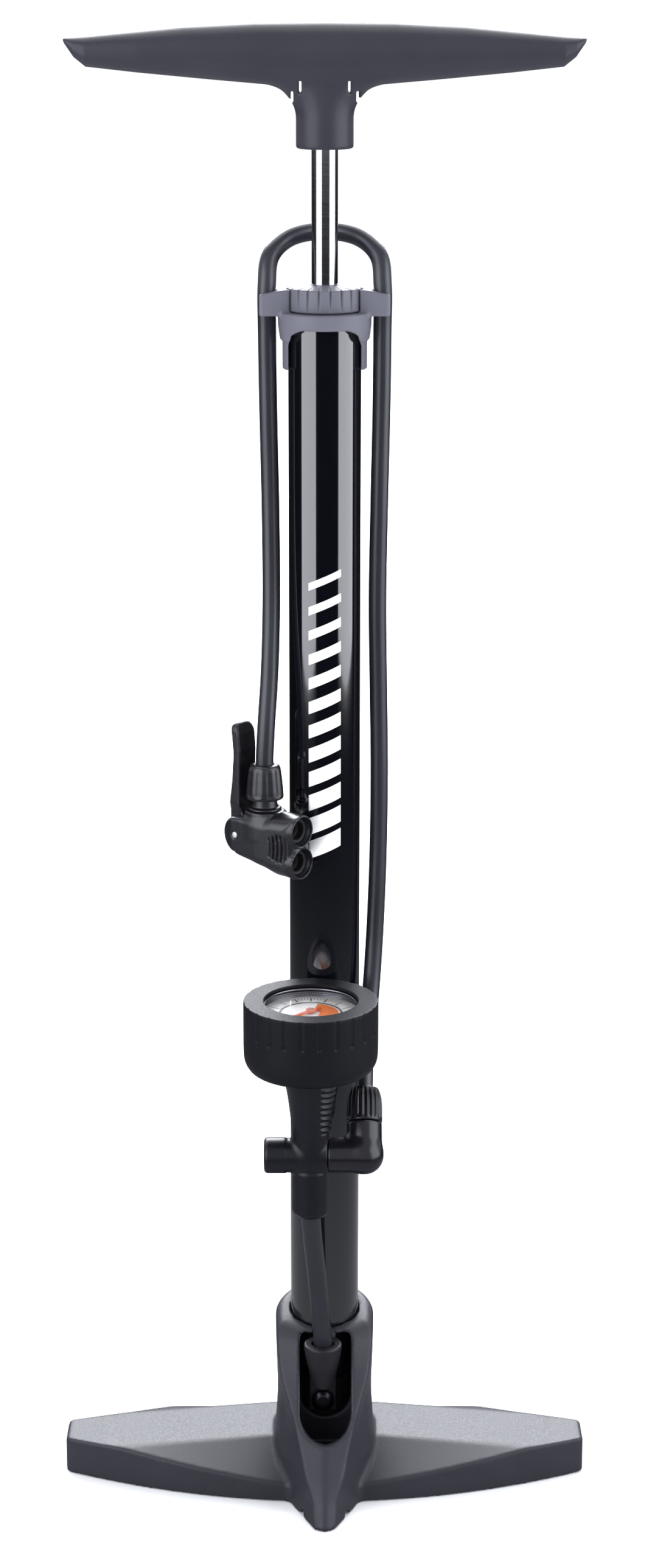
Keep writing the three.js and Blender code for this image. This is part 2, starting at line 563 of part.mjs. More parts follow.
// ---- elbow, hose and valve head --------------------------------------------------------------
const LEG = at(ELBOW_X, TOWER_Y, TEE_Z).multiply(turn(-ELBOW_LEAN, 0, 0));
const alongLeg = (distance) => new THREE.Vector3(0, 0, distance).applyMatrix4(LEG).toArray();

function hoseElbow() {
  const stub = alongX(joined(
    rod(ELBOW_R, TEE_RIGHT + GAP, ELBOW_X, ROUND),
    cut(rod(5.3, TEE_RIGHT - 11, TEE_RIGHT + GAP + 1), ring(4.2, 7, TEE_RIGHT - 6, TEE_RIGHT - 3.4, FINE)),
  ), 0, TEE_Z);
  const knee = solid(new THREE.SphereGeometry(ELBOW_R, ROUND, 10), at(ELBOW_X, TOWER_Y, TEE_Z));
  const leg = mapTo(joined(
    rod(ELBOW_R, 0, ELBOW_NUT_START - GAP, ROUND), rod(6, 0, ELBOW_NUT_START + 5),
  ), LEG);
  const way = joined(alongX(rod(2.2, TEE_RIGHT - 20, ELBOW_X), 0, TEE_Z),
    mapTo(rod(2.2, 0, 60), LEG));
  return cut(joined(stub, knee, leg), way);
}

function elbowHoseNut() {
  const nut = turned([[6.3, ELBOW_NUT_START], [8.2, ELBOW_NUT_START], [8.2, ELBOW_NUT_END - 3],
    [6.2, ELBOW_NUT_END], [HOSE_R + GAP, ELBOW_NUT_END], [HOSE_R + GAP, ELBOW_NUT_START + 6],
    [6.3, ELBOW_NUT_START + 6]], ROUND);
  return mapTo(nut, LEG);
}

const HEAD = at(...HEAD_AT).multiply(turn(0, 0, HEAD_YAW));

// Points chosen along the hose: out of the elbow's nut, up the right side, over the cap, down the
// left side and into the valve head.
const neckAxis = new THREE.Vector3(NECK_AT, 0, 0).applyMatrix4(HEAD).toArray().slice(0, 2);
const HOSE_ROUTE = [
  alongLeg(ELBOW_NUT_START + 7), alongLeg(ELBOW_NUT_END), [18.7, -19.5, 219],
  [20.8, -9.5, 238], [22.6, -4, 262], [24.2, -1.6, 300], [24.8, -0.6, 345], [24.2, 0, 385], [23.6, 0, 425],
  [24.2, 0, 470], [25, 0, 515], [HOSE_SPREAD, 0, 545], [HOSE_SPREAD, 0, 565], [23.6, 5.4, 577],
  [15, 13.6, 584.4], [0, 17.4, 586.8], [-15, 13.6, 584.4], [-23.6, 5.4, 577], [-HOSE_SPREAD, 0, 565],
  [-HOSE_SPREAD, 0, 545], [-24.9, 0, 515], [-24, -0.6, 465], [-23.8, -3.6, 425], [-24.6, -8.6, 395],
  [-26.2, -13.2, 370], [...neckAxis, 356], [...neckAxis, 341.5],
];

const inHead = (body) => mapTo(body, HEAD);
const alongHead = (body, x, z) => mapTo(body, at(x, 0, z).multiply(turn(0, 90, 0)));
const OUTLET_Z_TOP = OUTLET_PITCH / 2 - 2.2;
const OUTLETS = [OUTLET_Z_TOP, OUTLET_Z_TOP - OUTLET_PITCH];
const GLAND_R = 5.6;

function headBody() {
  const lobe = (x, z, r, half) => Array.from({ length: 12 }, (_, i) => {
    const angle = 2 * Math.PI * i / 12;
    return [x, half * Math.cos(angle), z + r * Math.sin(angle)];
  });
  const shell = joined(
    hull([...lobe(-6.4, 0, 4.5, 8), ...lobe(-3, 0, 8, HEAD_HALF), ...lobe(10, 0, 9, HEAD_HALF),
      ...lobe(20, OUTLETS[0], 6.6, 9), ...lobe(20, OUTLETS[1] + 1.5, 6.6, 9),
      ...lobe(HEAD_LENGTH, OUTLETS[0], 7.3, 8), ...lobe(HEAD_LENGTH, OUTLETS[1], 7.3, 8)]),
    mapTo(turned([[0, 0], [7, 0], [8.8, 11.9], [0, 11.9]], FINE), at(NECK_AT, 0, 0)),
  );
  const leverSlot = joined(box(-20, 3.2, -5.3, 5.3, -20, 20), box(-20, 7.9, -5.3, 5.3, -20, 4.6));
  const plungerWay = alongHead(rod(4.3, 0, 18.2), 0, 0);
  const wells = joined(...OUTLETS.map((z) => alongHead(rod(GLAND_R + GAP, 14.7, 50), 0, z)),
    box(14.7, 20.8, -3.3, 3.3, ...[...OUTLETS].reverse()));
  const hoseWay = mapTo(rod(2.2, 0, 20), at(NECK_AT, 0, 0));
  const neckSocket = mapTo(rod(4.6, 5.4, 20), at(NECK_AT, 0, 0));
  const pinHole = mapTo(rod(1.9, -20, 20), turn(90, 0, 0));
  return cut(shell, leverSlot, plungerWay, wells, hoseWay, neckSocket, pinHole);
}

function headLever() {
  const outline = [
    [-6.6, 2], [-6.9, 8], [-6.6, 14], [-5.2, 24], [-4.3, 36], [-5, 44], [-6, 49], [-4.6, 51],
    [-2.6, 50.4], [-0.9, 46], [-0.2, 38], [-0.5, 24], [-0.5, 12], [2, 6], [2.6, 0],
    [2.4, -5.6], [1.5, -6.8], [-1.5, -6.8], [-3.4, -5], [-5, -2],
  ];
  return cut(slab(outline, -5, 5), mapTo(rod(1.9, -20, 20), turn(90, 0, 0)));
}

function headNeck() {
  return mapTo(turned([[2.4, 5.8], [4.3, 5.8], [4.3, 12.2], [9.3, 12.2], [9.3, 14.3], [4.5, 14.3],
    [4.5, 20], [2.4, 20]], ROUND), at(NECK_AT, 0, 0));
}

function headHoseNut() {
  return mapTo(turned([[4.8, 17.2], [8.5, 17.2], [8.5, 19], [7.2, 32], [6, 33], [HOSE_R + GAP, 33],
    [HOSE_R + GAP, 20.4], [4.8, 20.4]], ROUND), at(NECK_AT, 0, 0));
}

const gland = (z) => alongHead(turned([[1.6, 21], [GLAND_R, 21], [GLAND_R, 31], [4.1, 31], [4.1, 27],
  [3, 26], [3, 22.5], [1.6, 22.5]], FINE), 0, z);

function glandPlunger() {
  const stem = alongHead(rod(4, 5.1, 15.2), 0, 0);
  const feet = OUTLETS.map((z) => alongHead(rod(4.8, 15, 17.8), 0, z));
  const bridge = box(15, 17.8, -3, 3, OUTLETS[1], OUTLETS[0]);
  return joined(stem, bridge, ...feet);
}

piece('hose_elbow', hoseElbow(), FINISH.black);
piece('elbow_o_ring', alongX(oRing(4.85, 0.6, TEE_RIGHT - 4.7), 0, TEE_Z), FINISH.rubber);
piece('elbow_hose_nut', elbowHoseNut(), FINISH.black);
piece('hose', pipe(HOSE_ROUTE, HOSE_R, { sides: 8, steps: 52 }), FINISH.hose);
piece('head_hose_nut', inHead(headHoseNut()), FINISH.black);
piece('head_neck', inHead(headNeck()), FINISH.black);
piece('head_body', inHead(headBody()), FINISH.black);
piece('gland_upper', inHead(gland(OUTLETS[0])), FINISH.rubber);
piece('gland_lower', inHead(gland(OUTLETS[1])), FINISH.rubber);
piece('gland_plunger', inHead(glandPlunger()), FINISH.steel);
piece('head_lever', inHead(headLever()), FINISH.black);
piece('lever_pin', inHead(mapTo(rod(1.6, -HEAD_HALF, HEAD_HALF, 12), turn(90, 0, 0))), FINISH.chrome);

export default pump;
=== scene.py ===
import bmesh
import bpy
import numpy as np
from numpy import clip, concatenate, cos, hypot, interp, maximum, minimum, pi, sin, stack
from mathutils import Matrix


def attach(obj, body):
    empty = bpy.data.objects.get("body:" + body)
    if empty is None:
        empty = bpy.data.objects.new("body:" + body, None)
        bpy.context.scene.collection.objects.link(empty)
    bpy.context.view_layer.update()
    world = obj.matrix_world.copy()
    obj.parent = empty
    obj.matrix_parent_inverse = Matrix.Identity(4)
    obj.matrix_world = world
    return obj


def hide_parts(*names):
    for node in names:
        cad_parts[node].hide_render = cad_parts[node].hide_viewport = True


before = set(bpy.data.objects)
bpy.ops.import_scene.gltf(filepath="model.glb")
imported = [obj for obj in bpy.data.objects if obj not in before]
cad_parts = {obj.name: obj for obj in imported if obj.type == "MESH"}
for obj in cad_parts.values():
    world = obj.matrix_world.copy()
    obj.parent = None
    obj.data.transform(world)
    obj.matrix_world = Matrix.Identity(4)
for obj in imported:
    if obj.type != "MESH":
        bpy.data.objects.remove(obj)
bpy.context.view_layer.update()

# A floor bike pump, put together from the foot upwards. Shapes are worked out in millimetres and
# turned to metres as they become meshes. The barrel stands on the origin, and the gauge is in
# front of it, towards -Y.
MM = 0.001

# ---- camera ----
# A long lens well back from the pump, tilted down far enough to look into the gauge. The frame
# is upright, and its height is what the lens is matched to.
CAMERA_X, CAMERA_AIM_Z, CAMERA_DISTANCE = -0.00097, 0.340, 1.392
CAMERA_TILT = np.radians(15.5)


def linked(name, data):
    """A new object in the scene that shows data."""
    made = bpy.data.objects.new(name, data)
    bpy.context.collection.objects.link(made)
    return made


camera = linked("camera", bpy.data.cameras.new("camera"))
camera.data.sensor_fit = "VERTICAL"
camera.data.sensor_height = 36
camera.data.lens = 70.34
camera.location = (
    CAMERA_X,
    -CAMERA_DISTANCE * cos(CAMERA_TILT),
    CAMERA_AIM_Z + CAMERA_DISTANCE * sin(CAMERA_TILT),
)
camera.rotation_euler = (pi / 2 - CAMERA_TILT, 0, 0)
bpy.context.scene.camera = camera

# ---- hose ----
# One length of extruded PVC hose, 8 mm across, from the elbow's nut up the right side, through
# both clips over the cap and down into the valve head. Extrusion leaves it smooth and satin,
# with faint lines along it in relief; the lines are also painted lighter, as painted highlights.
HOSE_R = 4.0
HOSE_START = [18.1, -34.88, 196.52]
HOSE_EXIT = [18.1, -29.72, 203.89]
HOSE_ROUTE = [
    HOSE_START, HOSE_EXIT, [18.7, -19.5, 219], [20.8, -9.5, 238], [22.6, -4, 262],
    [24.2, -1.6, 300], [24.8, -0.6, 345], [24.2, 0, 385], [23.6, 0, 425], [24.2, 0, 470],
    [25, 0, 515], [25.2, 0, 545], [25.2, 0, 565], [23.6, 5.4, 577], [15, 13.6, 584.4],
    [0, 17.4, 586.8], [-15, 13.6, 584.4], [-23.6, 5.4, 577], [-25.2, 0, 565], [-25.2, 0, 545],
    [-24.9, 0, 515], [-24, -0.6, 465], [-23.8, -3.6, 425], [-24.6, -8.6, 395],
    [-26.2, -13.2, 370], [-26.893, -14.299, 356], [-26.893, -14.299, 341.5],
]


def linear(text):
    """Six sRGB hex digits as a linear colour with alpha 1."""
    part = np.array([int(text[i:i + 2], 16) / 255 for i in (0, 2, 4)])
    part = np.where(part <= 0.04045, part / 12.92, ((part + 0.055) / 1.055) ** 2.4)
    return (*part.tolist(), 1.0)


def finish(name, **shader_values):
    """A material with one Principled shader, whose even values are set on its own sockets."""
    material = bpy.data.materials.new(name)
    material.use_nodes = True
    shader = material.node_tree.nodes["Principled BSDF"]
    for key, value in shader_values.items():
        shader.inputs[key.replace("_", " ")].default_value = value
    return material, shader


def put(material, kind, sockets, **settings):
    """Adds one node: settings are its own, and sockets are its inputs, each a value or a link."""
    made = material.node_tree.nodes.new("ShaderNode" + kind)
    for key, value in settings.items():
        setattr(made, key, value)
    for key, value in sockets.items():
        if isinstance(value, bpy.types.NodeSocket):
            material.node_tree.links.new(value, made.inputs[key])
        else:
            made.inputs[key].default_value = value
    return made


def join_to(material, shader, **links):
    """Links outputs to the shader's inputs by name."""
    for key, value in links.items():
        material.node_tree.links.new(value, shader.inputs[key.replace("_", " ")])


def calc(material, operation, *values):
    """The result of one Math node, whose values are numbers or links."""
    return put(material, "Math", dict(enumerate(values)), operation=operation).outputs[0]


def noise(material, size, detail):
    """Noise all through a piece, in marks about size millimetres across."""
    place = put(material, "TexCoord", {}).outputs["Object"]
    return put(material, "TexNoise", {"Vector": place, "Scale": 1 / (size * MM),
                                      "Detail": detail}).outputs[0]


def ranged(material, value, low, high, start=0.0, end=1.0, **settings):
    """A value from start to end as one from low to high."""
    return put(material, "MapRange", {0: value, 1: start, 2: end, 3: low, 4: high},
               **settings).outputs[0]


def mixed(material, share, first, second):
    """The colour that lies share of the way from first to second."""
    return put(material, "Mix", {0: share, 6: first, 7: second}, data_type="RGBA").outputs[2]


def bumped(material, height, strength, depth):
    """A normal that shows a height from 0 to 1 as relief, depth millimetres deep."""
    return put(material, "Bump", {"Height": height, "Strength": strength,
                                  "Distance": depth * MM}).outputs[0]


def smooth_route(points, steps):
    """Points along a Catmull-Rom curve whose pace follows the square root of each span's length,
    with the first and last spans carried on straight for its end slopes."""
    p = np.array(points, float)
    p = np.vstack([2 * p[0] - p[1], p, 2 * p[-1] - p[-2]])
    span = np.sqrt(np.linalg.norm(np.diff(p, axis=0), axis=1))[:, None]
    before, here, after = span[:-2], span[1:-1], span[2:]
    p0, p1, p2, p3 = p[:-3], p[1:-2], p[2:-1], p[3:]
    out = here * ((p1 - p0) / before - (p2 - p0) / (before + here) + (p2 - p1) / here)
    into = here * ((p2 - p1) / here - (p3 - p1) / (here + after) + (p3 - p2) / after)
    s = np.linspace(0, 1, steps, endpoint=False)[None, :, None]
    curve = (p1[:, None] + out[:, None] * s + (3 * (p2 - p1) - 2 * out - into)[:, None] * s ** 2
             + (2 * (p1 - p2) + out + into)[:, None] * s ** 3)
    return np.vstack([curve.reshape(-1, 3), p[-2]])


def way_along(points):
    """How far along a line each of its points lies."""
    return concatenate([[0], np.cumsum(np.linalg.norm(np.diff(points, axis=0), axis=1))])


def evenly(points, pace):
    """The same line with a point every pace millimetres."""
    length = way_along(points)
    wanted = np.linspace(0, length[-1], int(length[-1] / pace) + 1)
    return stack([interp(wanted, length, points[:, k]) for k in range(3)], 1)


def tube(centre, radius, sides, side_axis):
    """A circle carried along a line of points: each ring lies across the line's direction, and
    is turned by the cross product with side_axis, which the line never runs along. The ends
    close on their middle points. Gives the grid and each point's angle and way along."""
    way = np.gradient(centre, axis=0)
    way /= np.linalg.norm(way, axis=1)[:, None]
    across = np.cross(way, side_axis)
    across /= np.linalg.norm(across, axis=1)[:, None]
    up = np.cross(across, way)
    angle = np.linspace(0, 2 * pi, sides, endpoint=False)
    cosine, sine = cos(angle)[None, :, None], sin(angle)[None, :, None]
    rings = centre[:, None] + (cosine * across[:, None] + sine * up[:, None]) * radius
    ends = [np.repeat(centre[[k], None], sides, 1) for k in (0, -1)]
    grid = concatenate([ends[0], rings, ends[1]], 0)
    length = way_along(centre)
    length = concatenate([[0], length, length[-1:]])
    turn = np.broadcast_to(stack([cos(angle), sin(angle)], -1), (*grid.shape[:2], 2))
    lay = concatenate([turn, np.broadcast_to(length[:, None, None], (*grid.shape[:2], 1))], -1)
    return grid, lay


def quads(rows, columns, rows_close=False):
    """Faces of a grid that closes round its columns, and round its rows if asked."""
    index = np.arange(rows * columns).reshape(rows, columns)
    low = index if rows_close else index[:-1]
    high = np.roll(index, -1, 0) if rows_close else index[1:]
    return stack([low, np.roll(low, -1, 1), np.roll(high, -1, 1), high], -1).reshape(-1, 4)


def make(name, points, faces, material, slot, replaced=(), body="frame", lay=None):
    """A closed piece from points in millimetres. Points that coincide become one, which closes
    poles and seams, and the faces are turned outwards."""
    mesh = bpy.data.meshes.new(name)
    mesh.from_pydata((points.reshape(-1, 3) * MM).tolist(), [], faces.tolist())
    if lay is not None:
        layer = mesh.attributes.new("lay", "FLOAT_VECTOR", "POINT")
        layer.data.foreach_set("vector", lay.reshape(-1).astype(np.float32))
    shape = bmesh.new()
    shape.from_mesh(mesh)
    bmesh.ops.remove_doubles(shape, verts=shape.verts, dist=0.001 * MM)
    loose = [edge for edge in shape.edges if not edge.link_faces]
    bmesh.ops.delete(shape, geom=loose, context="EDGES")
    if shape.calc_volume(signed=True) < 0:
        bmesh.ops.reverse_faces(shape, faces=shape.faces)
    shape.to_mesh(mesh)
    shape.free()
    mesh.shade_smooth()
    mesh.materials.append(material)
    piece = linked(name, mesh)
    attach(piece, body)
    if replaced:
        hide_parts(*replaced)
    return piece


SPAN_STEPS = 24
hose_line = evenly(smooth_route(HOSE_ROUTE, SPAN_STEPS), 1.5)
hose_grid, hose_lay = tube(hose_line, HOSE_R, 28, [0, 1, 0])

# The lines come from noise over the turn round the hose and, drawn far out, the way along it.
# They set the relief and roughness of the hose's own lines, and they also paint highlight lines
# into its colour, lighter along the lines.
hose_pvc, shader = finish("hose_soft_pvc_extruded", IOR=1.52, Specular_IOR_Level=0.6)
lay = put(hose_pvc, "Attribute", {}, attribute_name="lay").outputs["Vector"]
parts = put(hose_pvc, "SeparateXYZ", {0: lay})
drawn = put(hose_pvc, "CombineXYZ", {
    0: calc(hose_pvc, "ARCTAN2", parts.outputs[1], parts.outputs[0]),
    1: calc(hose_pvc, "MULTIPLY", parts.outputs[2], 0.004)}).outputs[0]
lines = put(hose_pvc, "TexNoise", {"Vector": drawn, "Scale": 7.0, "Detail": 3.0}).outputs[0]
# Base colour: painted highlight, lighter along the lines. Roughness and bump: the lines' relief.
join_to(hose_pvc, shader, Base_Color=mixed(hose_pvc, lines, linear("101119"), linear("1c1e28")),
        Roughness=ranged(hose_pvc, lines, 0.26, 0.44), Normal=bumped(hose_pvc, lines, 0.5, 0.12))

hose = make("air_hose", hose_grid, quads(*hose_grid.shape[:2]), hose_pvc, "hose_rubber", ["hose"],
            lay=hose_lay)
hose_length = float(way_along(hose_line)[-1]) * MM

# ---- foot ----
# The foot that the user stands on: one moulding of glass-filled nylon with a wing on each side,
# a round housing for the barrel, a shield-shaped front with the air outlet's slot, and a keel
# that runs forward to a point. Hollow and ribbed underneath, and screwed to the barrel's foot.
HALF_SPAN = 124.0
WALL = 3.0  # thickness over the hollows underneath
SLOT_X, SLOT_HALF = 0.4, 12.0
SLOT_LOW, SLOT_HIGH = 33.0, 77.0
NOTCH_LOW = 75.0  # above this the air pipe has a notch of its own
MOUTH_Z = 82.0  # rim of the mouth over the origin; it rises towards the back
MOUTH_RISE = 0.2
BARREL_R = 16.0
PIPE_R = 4.4


def meet(a, b, r):
    """Distance outside the part that two solids share, its edges rounded to radius r."""
    both = hypot(maximum(a + r, 0), maximum(b + r, 0))
    return minimum(maximum(a, b), -r) + both


def blend_in(a, b, r):
    """Distance outside two solids together, with a fillet of radius r where they join."""
    return -meet(-a, -b, r)


def cast(field, low, high, step):
    """Outline of a solid that is given as a distance field in mm. Each cell of a grid that the
    outline passes through gets one point, the mean of its crossings with the cell's edges, then
    drawn onto the outline along the field's slope. Each grid edge that the outline crosses gets
    the quad of the four cells round it."""
    axes = [np.arange(a - step, b + 2 * step, step) for a, b in zip(low, high)]
    value = field(*np.meshgrid(*axes, indexing="ij"))
    cells = np.array(value.shape) - 1
    total, count = np.zeros((*cells, 3)), np.zeros(cells)
    crossings = []
    for axis in range(3):
        first = np.take(value, range(cells[axis]), axis)
        second = np.take(value, range(1, cells[axis] + 1), axis)
        cross = (first < 0) != (second < 0)
        share = np.where(cross, first / np.where(cross, first - second, 1), 0)
        spot = stack(np.meshgrid(*[np.arange(n) for n in first.shape], indexing="ij"), -1)
        spot = spot.astype(float)
        spot[..., axis] += share
        spot *= cross[..., None]
        b, c = (axis + 1) % 3, (axis + 2) % 3
        for at_b, at_c in np.ndindex(2, 2):
            part = [slice(None)] * 3
            part[b] = slice(at_b, at_b + cells[b])
            part[c] = slice(at_c, at_c + cells[c])
            total += spot[tuple(part)]
            count += cross[tuple(part)]
        crossings.append((cross, first < 0, b, c))
    used = count > 0
    number = np.full(cells, -1)
    number[used] = np.arange(used.sum())
    start = np.array([a[0] for a in axes])
    points = start + step * total[used] / count[used][:, None]
    faces = []
    for cross, leaves, b, c in crossings:
        inner = [slice(None)] * 3
        inner[b] = slice(1, cells[b])
        inner[c] = slice(1, cells[c])
        where = np.argwhere(cross[tuple(inner)])
        outward = leaves[tuple(inner)][tuple(where.T)]
        corner = []
        for at_b, at_c in ((0, 0), (1, 0), (1, 1), (0, 1)):
            cell = where.copy()
            cell[:, b] += at_b
            cell[:, c] += at_c
            corner.append(number[tuple(cell.T)])
        corner = stack(corner, 1)
        faces.append(np.where(outward[:, None], corner, corner[:, ::-1]))
    small, least_steep = 0.02, 0.05
    for _ in range(3):
        away = field(*points.T)
        slope = stack([field(*(points + side).T) - field(*(points - side).T)
                       for side in small * np.eye(3)], 1)
        slope /= 2 * small
        steep = maximum((slope ** 2).sum(1), least_steep)
        points -= slope * clip(away / steep, -step / 2, step / 2)[:, None]
    return points, concatenate(faces)


def wing_solid(x, y, z, inset):
    """Both wings: a parabola in plan at the front and at the back, cut off square at the tips.
    The top is nearly flat, and two facets fall from it to the edges, lower towards the middle.
    inset shrinks it all round for the hollow underneath. It goes on below the floor."""
    across, forward = abs(x), -y
    out = (across / HALF_SPAN) ** 2
    front_edge, back_edge = 40.5 - 30 * out - inset, 36 - 25.5 * out - inset
    top = interp(across, [0, 25, HALF_SPAN], [20.6, 20.6, 18]) - inset
    rim = 8.4 + 10 * clip((across - 18) / 79, 0, 1) ** 0.9 - inset
    front_crease = interp(across, [0, 25, 97, HALF_SPAN], [12, 12, 20, 9]) - inset
    back_crease = interp(across, [0, 25, 97, HALF_SPAN], [22, 22, 14, 8]) - inset
    body = z - top
    for depth, edge, crease, lip in (
        (forward, front_edge, front_crease, minimum(rim, top)),
        (y, back_edge, back_crease, minimum(rim, top - 3.4)),
    ):
        fall = (top - lip) / maximum(edge - crease, 1)
        facet = (z - lip - fall * (edge - depth)) / np.sqrt(1 + fall ** 2)
        body = meet(body, facet, 0.7)
        body = meet(body, depth - edge, 1.3)
    return meet(body, across - HALF_SPAN + inset, 2.6)


def housing_solid(x, y, z):
    """The housing and its keel. Each level is round behind, with a straight cheek on each side
    and a shield in front that meets in a soft ridge; its sizes run smoothly up the levels."""
    level = [0, 10, 20, 26, 33, 39, 46, 58, 70, 76, 81]
    half = interp(z, level, [23.4, 23.4, 23.4, 23.2, 22.8, 22.4, 22.4, 23, 23.5, 23.6, 23.6])
    cheek = interp(z, level, [24, 23, 20, 17, 13, 11, 9.5, 8, 6, 4, 3])
    shield = interp(z, level, [4.4, 5, 8, 9.6, 11.5, 13, 15, 19.6, 22, 22.4, 22.4])
    shield_y = interp(z, level, [67, 61.5, 56, 51, 46.5, 43, 39.5, 29.5, 20, 15, 13])
    ridge_y = interp(z, level, [70, 64.5, 58.5, 54, 50, 46.5, 42.5, 35, 30, 29, 28])
    across, forward = hypot(x, 1.5) - 0.6, -y
    side = hypot(x, maximum(y, 0)) - half
    along, out = shield_y - cheek, half - shield
    cheek_face = ((across - half) * along + (forward - cheek) * out) / hypot(along, out)
    along, out = ridge_y - shield_y, shield
    shield_face = ((across - shield) * along + (forward - shield_y) * out) / hypot(along, out)
    body = meet(meet(side, cheek_face, 2.5), shield_face, 0.8)
    return meet(body, z - MOUTH_Z - MOUTH_RISE * y, 5.6)


def foot_solid(x, y, z):
    """The whole foot: wings and housing joined by a fillet and cut off at the floor, less the
    barrel's bore, the arched slot with the pipe's notch above it and a chamber 4 mm behind the
    shield, and the ribbed hollows underneath."""
    housing = housing_solid(x, y, z)
    body = meet(blend_in(wing_solid(x, y, z, 0), housing, 2.5), -z, 0.5)
    arch_middle = SLOT_LOW + SLOT_HALF
    slot = hypot(x - SLOT_X, minimum(z - arch_middle, 0)) - SLOT_HALF
    slot = meet(meet(slot, z - SLOT_HIGH, 2.5), y, 0.1)
    notch = hypot(x + 0.9, minimum(y + 27, 0)) - PIPE_R - 0.5
    notch = meet(meet(notch, NOTCH_LOW - z, 0.1), y, 0.1)
    bore = meet(hypot(x, y) - BARREL_R - 0.3, 11.7 - z, 0.3)
    chamber = meet(meet(meet(housing + 4, 20 - z, 2), z - 62, 2), y + BARREL_R + 2, 1)
    body = meet(body, -slot, 0.9)
    body = meet(body, -minimum(notch, chamber), 0.5)
    body = meet(body, -bore, 0.4)
    across = abs(x)
    hollow = meet(wing_solid(x, y, z, WALL), 31 - across, 1)
    ribs = abs(y) - 1.1
    for rib_x, rib_half in ((52, 1.1), (74, 1.5), (98, 1.1)):
        ribs = minimum(ribs, abs(across - rib_x) - rib_half)
    hollow = meet(hollow, -ribs, 0.6)
    keel = meet(across - 11 + 0.35 * z, abs(y + 41) - 15 + 0.5 * z, 2)
    keel = meet(keel, z - 16, 2)
    return meet(meet(body, -hollow, 0.6), -keel, 0.6)


def moulded(name, dark, light, roughness, grain, depth, gloss=0.3):
    """Injection-moulded plastic. Its colour clouds faintly with the flow of the melt, between
    dark and light, and its skin carries the grain of the mould's wall: grain is the size of the
    marks and depth their height, in mm. gloss is the strength of its reflections."""
    material, shader = finish(name, IOR=1.5, Specular_IOR_Level=gloss)
    tone = mixed(material, noise(material, 17, 3.0), linear(dark), linear(light))
    mark = noise(material, grain, 2.0)
    dull = ranged(material, mark, 0.88 * roughness, 1.12 * roughness, 0.3, 0.7)
    join_to(material, shader, Base_Color=tone, Roughness=dull,
            Normal=bumped(material, mark, 0.6, depth))
    return material


# Spark-eroded moulds give nylon a dull, sandy skin. The real grain is about 0.2 mm, and it is
# drawn at 0.9 mm so that it shows.
foot_nylon = moulded("foot_glass_filled_nylon_moulded", "232329", "2a2a31", roughness=0.46,
                     grain=0.9, depth=0.05)
make("foot_moulding", *cast(foot_solid, [-HALF_SPAN, -70, 0], [HALF_SPAN, 36, 87], step=1.1),
     foot_nylon, "base_plastic", ["base"])

# ---- air outlet ----
# A nylon banjo in the foot's slot: a tapered cup that the air pipe plugs into, on a block held
# to the barrel's foot by one hollow bolt.
CONNECTOR_X, CONNECTOR_Y = -0.8, -27.0
OUTLET_Z = 45.0


def rounded(corners, radius, steps=4):
    """A closed outline in which each corner off the axis is a quadratic curve between points
    radius away on its two edges, or less than half of a short edge. One more point beyond each
    end holds the flat beside it flat."""
    corners = np.array(corners, float)
    size = np.where(abs(corners[:, 0]) < 1e-6, 0.0, radius)[:, None]
    back, ahead = [way / np.linalg.norm(way, axis=1)[:, None]
                   * minimum(size, 0.42 * np.linalg.norm(way, axis=1)[:, None])
                   for way in (np.roll(corners, 1, 0) - corners, np.roll(corners, -1, 0) - corners)]
    start, end = (corners + back)[:, None], (corners + ahead)[:, None]
    s = np.linspace(0, 1, steps + 1)[None, :, None]
    arc = (1 - s) ** 2 * start + 2 * s * (1 - s) * corners[:, None] + s ** 2 * end
    beyond = 1.18
    hold = [(corners + side * beyond)[:, None] for side in (back, ahead)]
    return concatenate([hold[0], arc, hold[1]], 1).reshape(-1, 2)


def turned(outline, sides, x=0.0, y=0.0):
    """A closed outline of (radius, height) turned about the vertical line through x and y."""
    angle = np.linspace(0, 2 * pi, sides, endpoint=False)
    r, z = outline[:, :1], outline[:, 1:]
    return stack([x + r * cos(angle), y + r * sin(angle), z + 0 * angle], -1)


def from_nearest(angle, count, radius):
    """Distance round a circle from the nearest of count places that are spaced evenly on it."""
    return abs((angle * count / (2 * pi)) % 1 - 0.5) * 2 * pi * radius / count


def make_turned(name, grid, *rest, **more):
    """A closed piece from a grid that closes both ways."""
    return make(name, grid, quads(*grid.shape[:2], rows_close=True), *rest, **more)


def banjo_solid(x, y, z):
    """The cup tapers down from its collar, and its block runs back to the barrel's foot."""
    rho = hypot(x - CONNECTOR_X, y - CONNECTOR_Y)
    wide = interp(z, [53, 56, 60, 65, 70, 74], [4.4, 5, 6, 7.4, 8.4, 8.9])
    cup = meet(meet(rho - wide, 53 - z, 1), z - 75.4, 0.8)
    block = meet(abs(x - CONNECTOR_X) - 6.4, abs(y + 20.5) - 3.4, 0.8)
    block = meet(meet(block, 39 - z, 0.8), z - 60, 0.8)
    body = blend_in(cup, block, 1.2)
    socket = meet(rho - 5, 66 - z, 0.2)
    bolt = meet(hypot(x - CONNECTOR_X, z - OUTLET_Z) - 3.1, -10 - y, 0.1)
    return meet(meet(body, -socket, 0.4), -bolt, 0.2)


small_nylon = moulded("fittings_black_nylon_moulded", "131317", "19191d", roughness=0.42,
                      grain=0.8, depth=0.03)
make("air_outlet_banjo", *cast(banjo_solid, [-11, -37, 38], [9, -16, 77], step=0.6),
     small_nylon, "black_plastic", ["pipe_connector"])


def lay_down(grid, x, z):
    """A grid that was made upright, laid so that its top faces forwards, towards -Y."""
    return stack([x + grid[..., 0], -grid[..., 2], z + grid[..., 1]], -1)


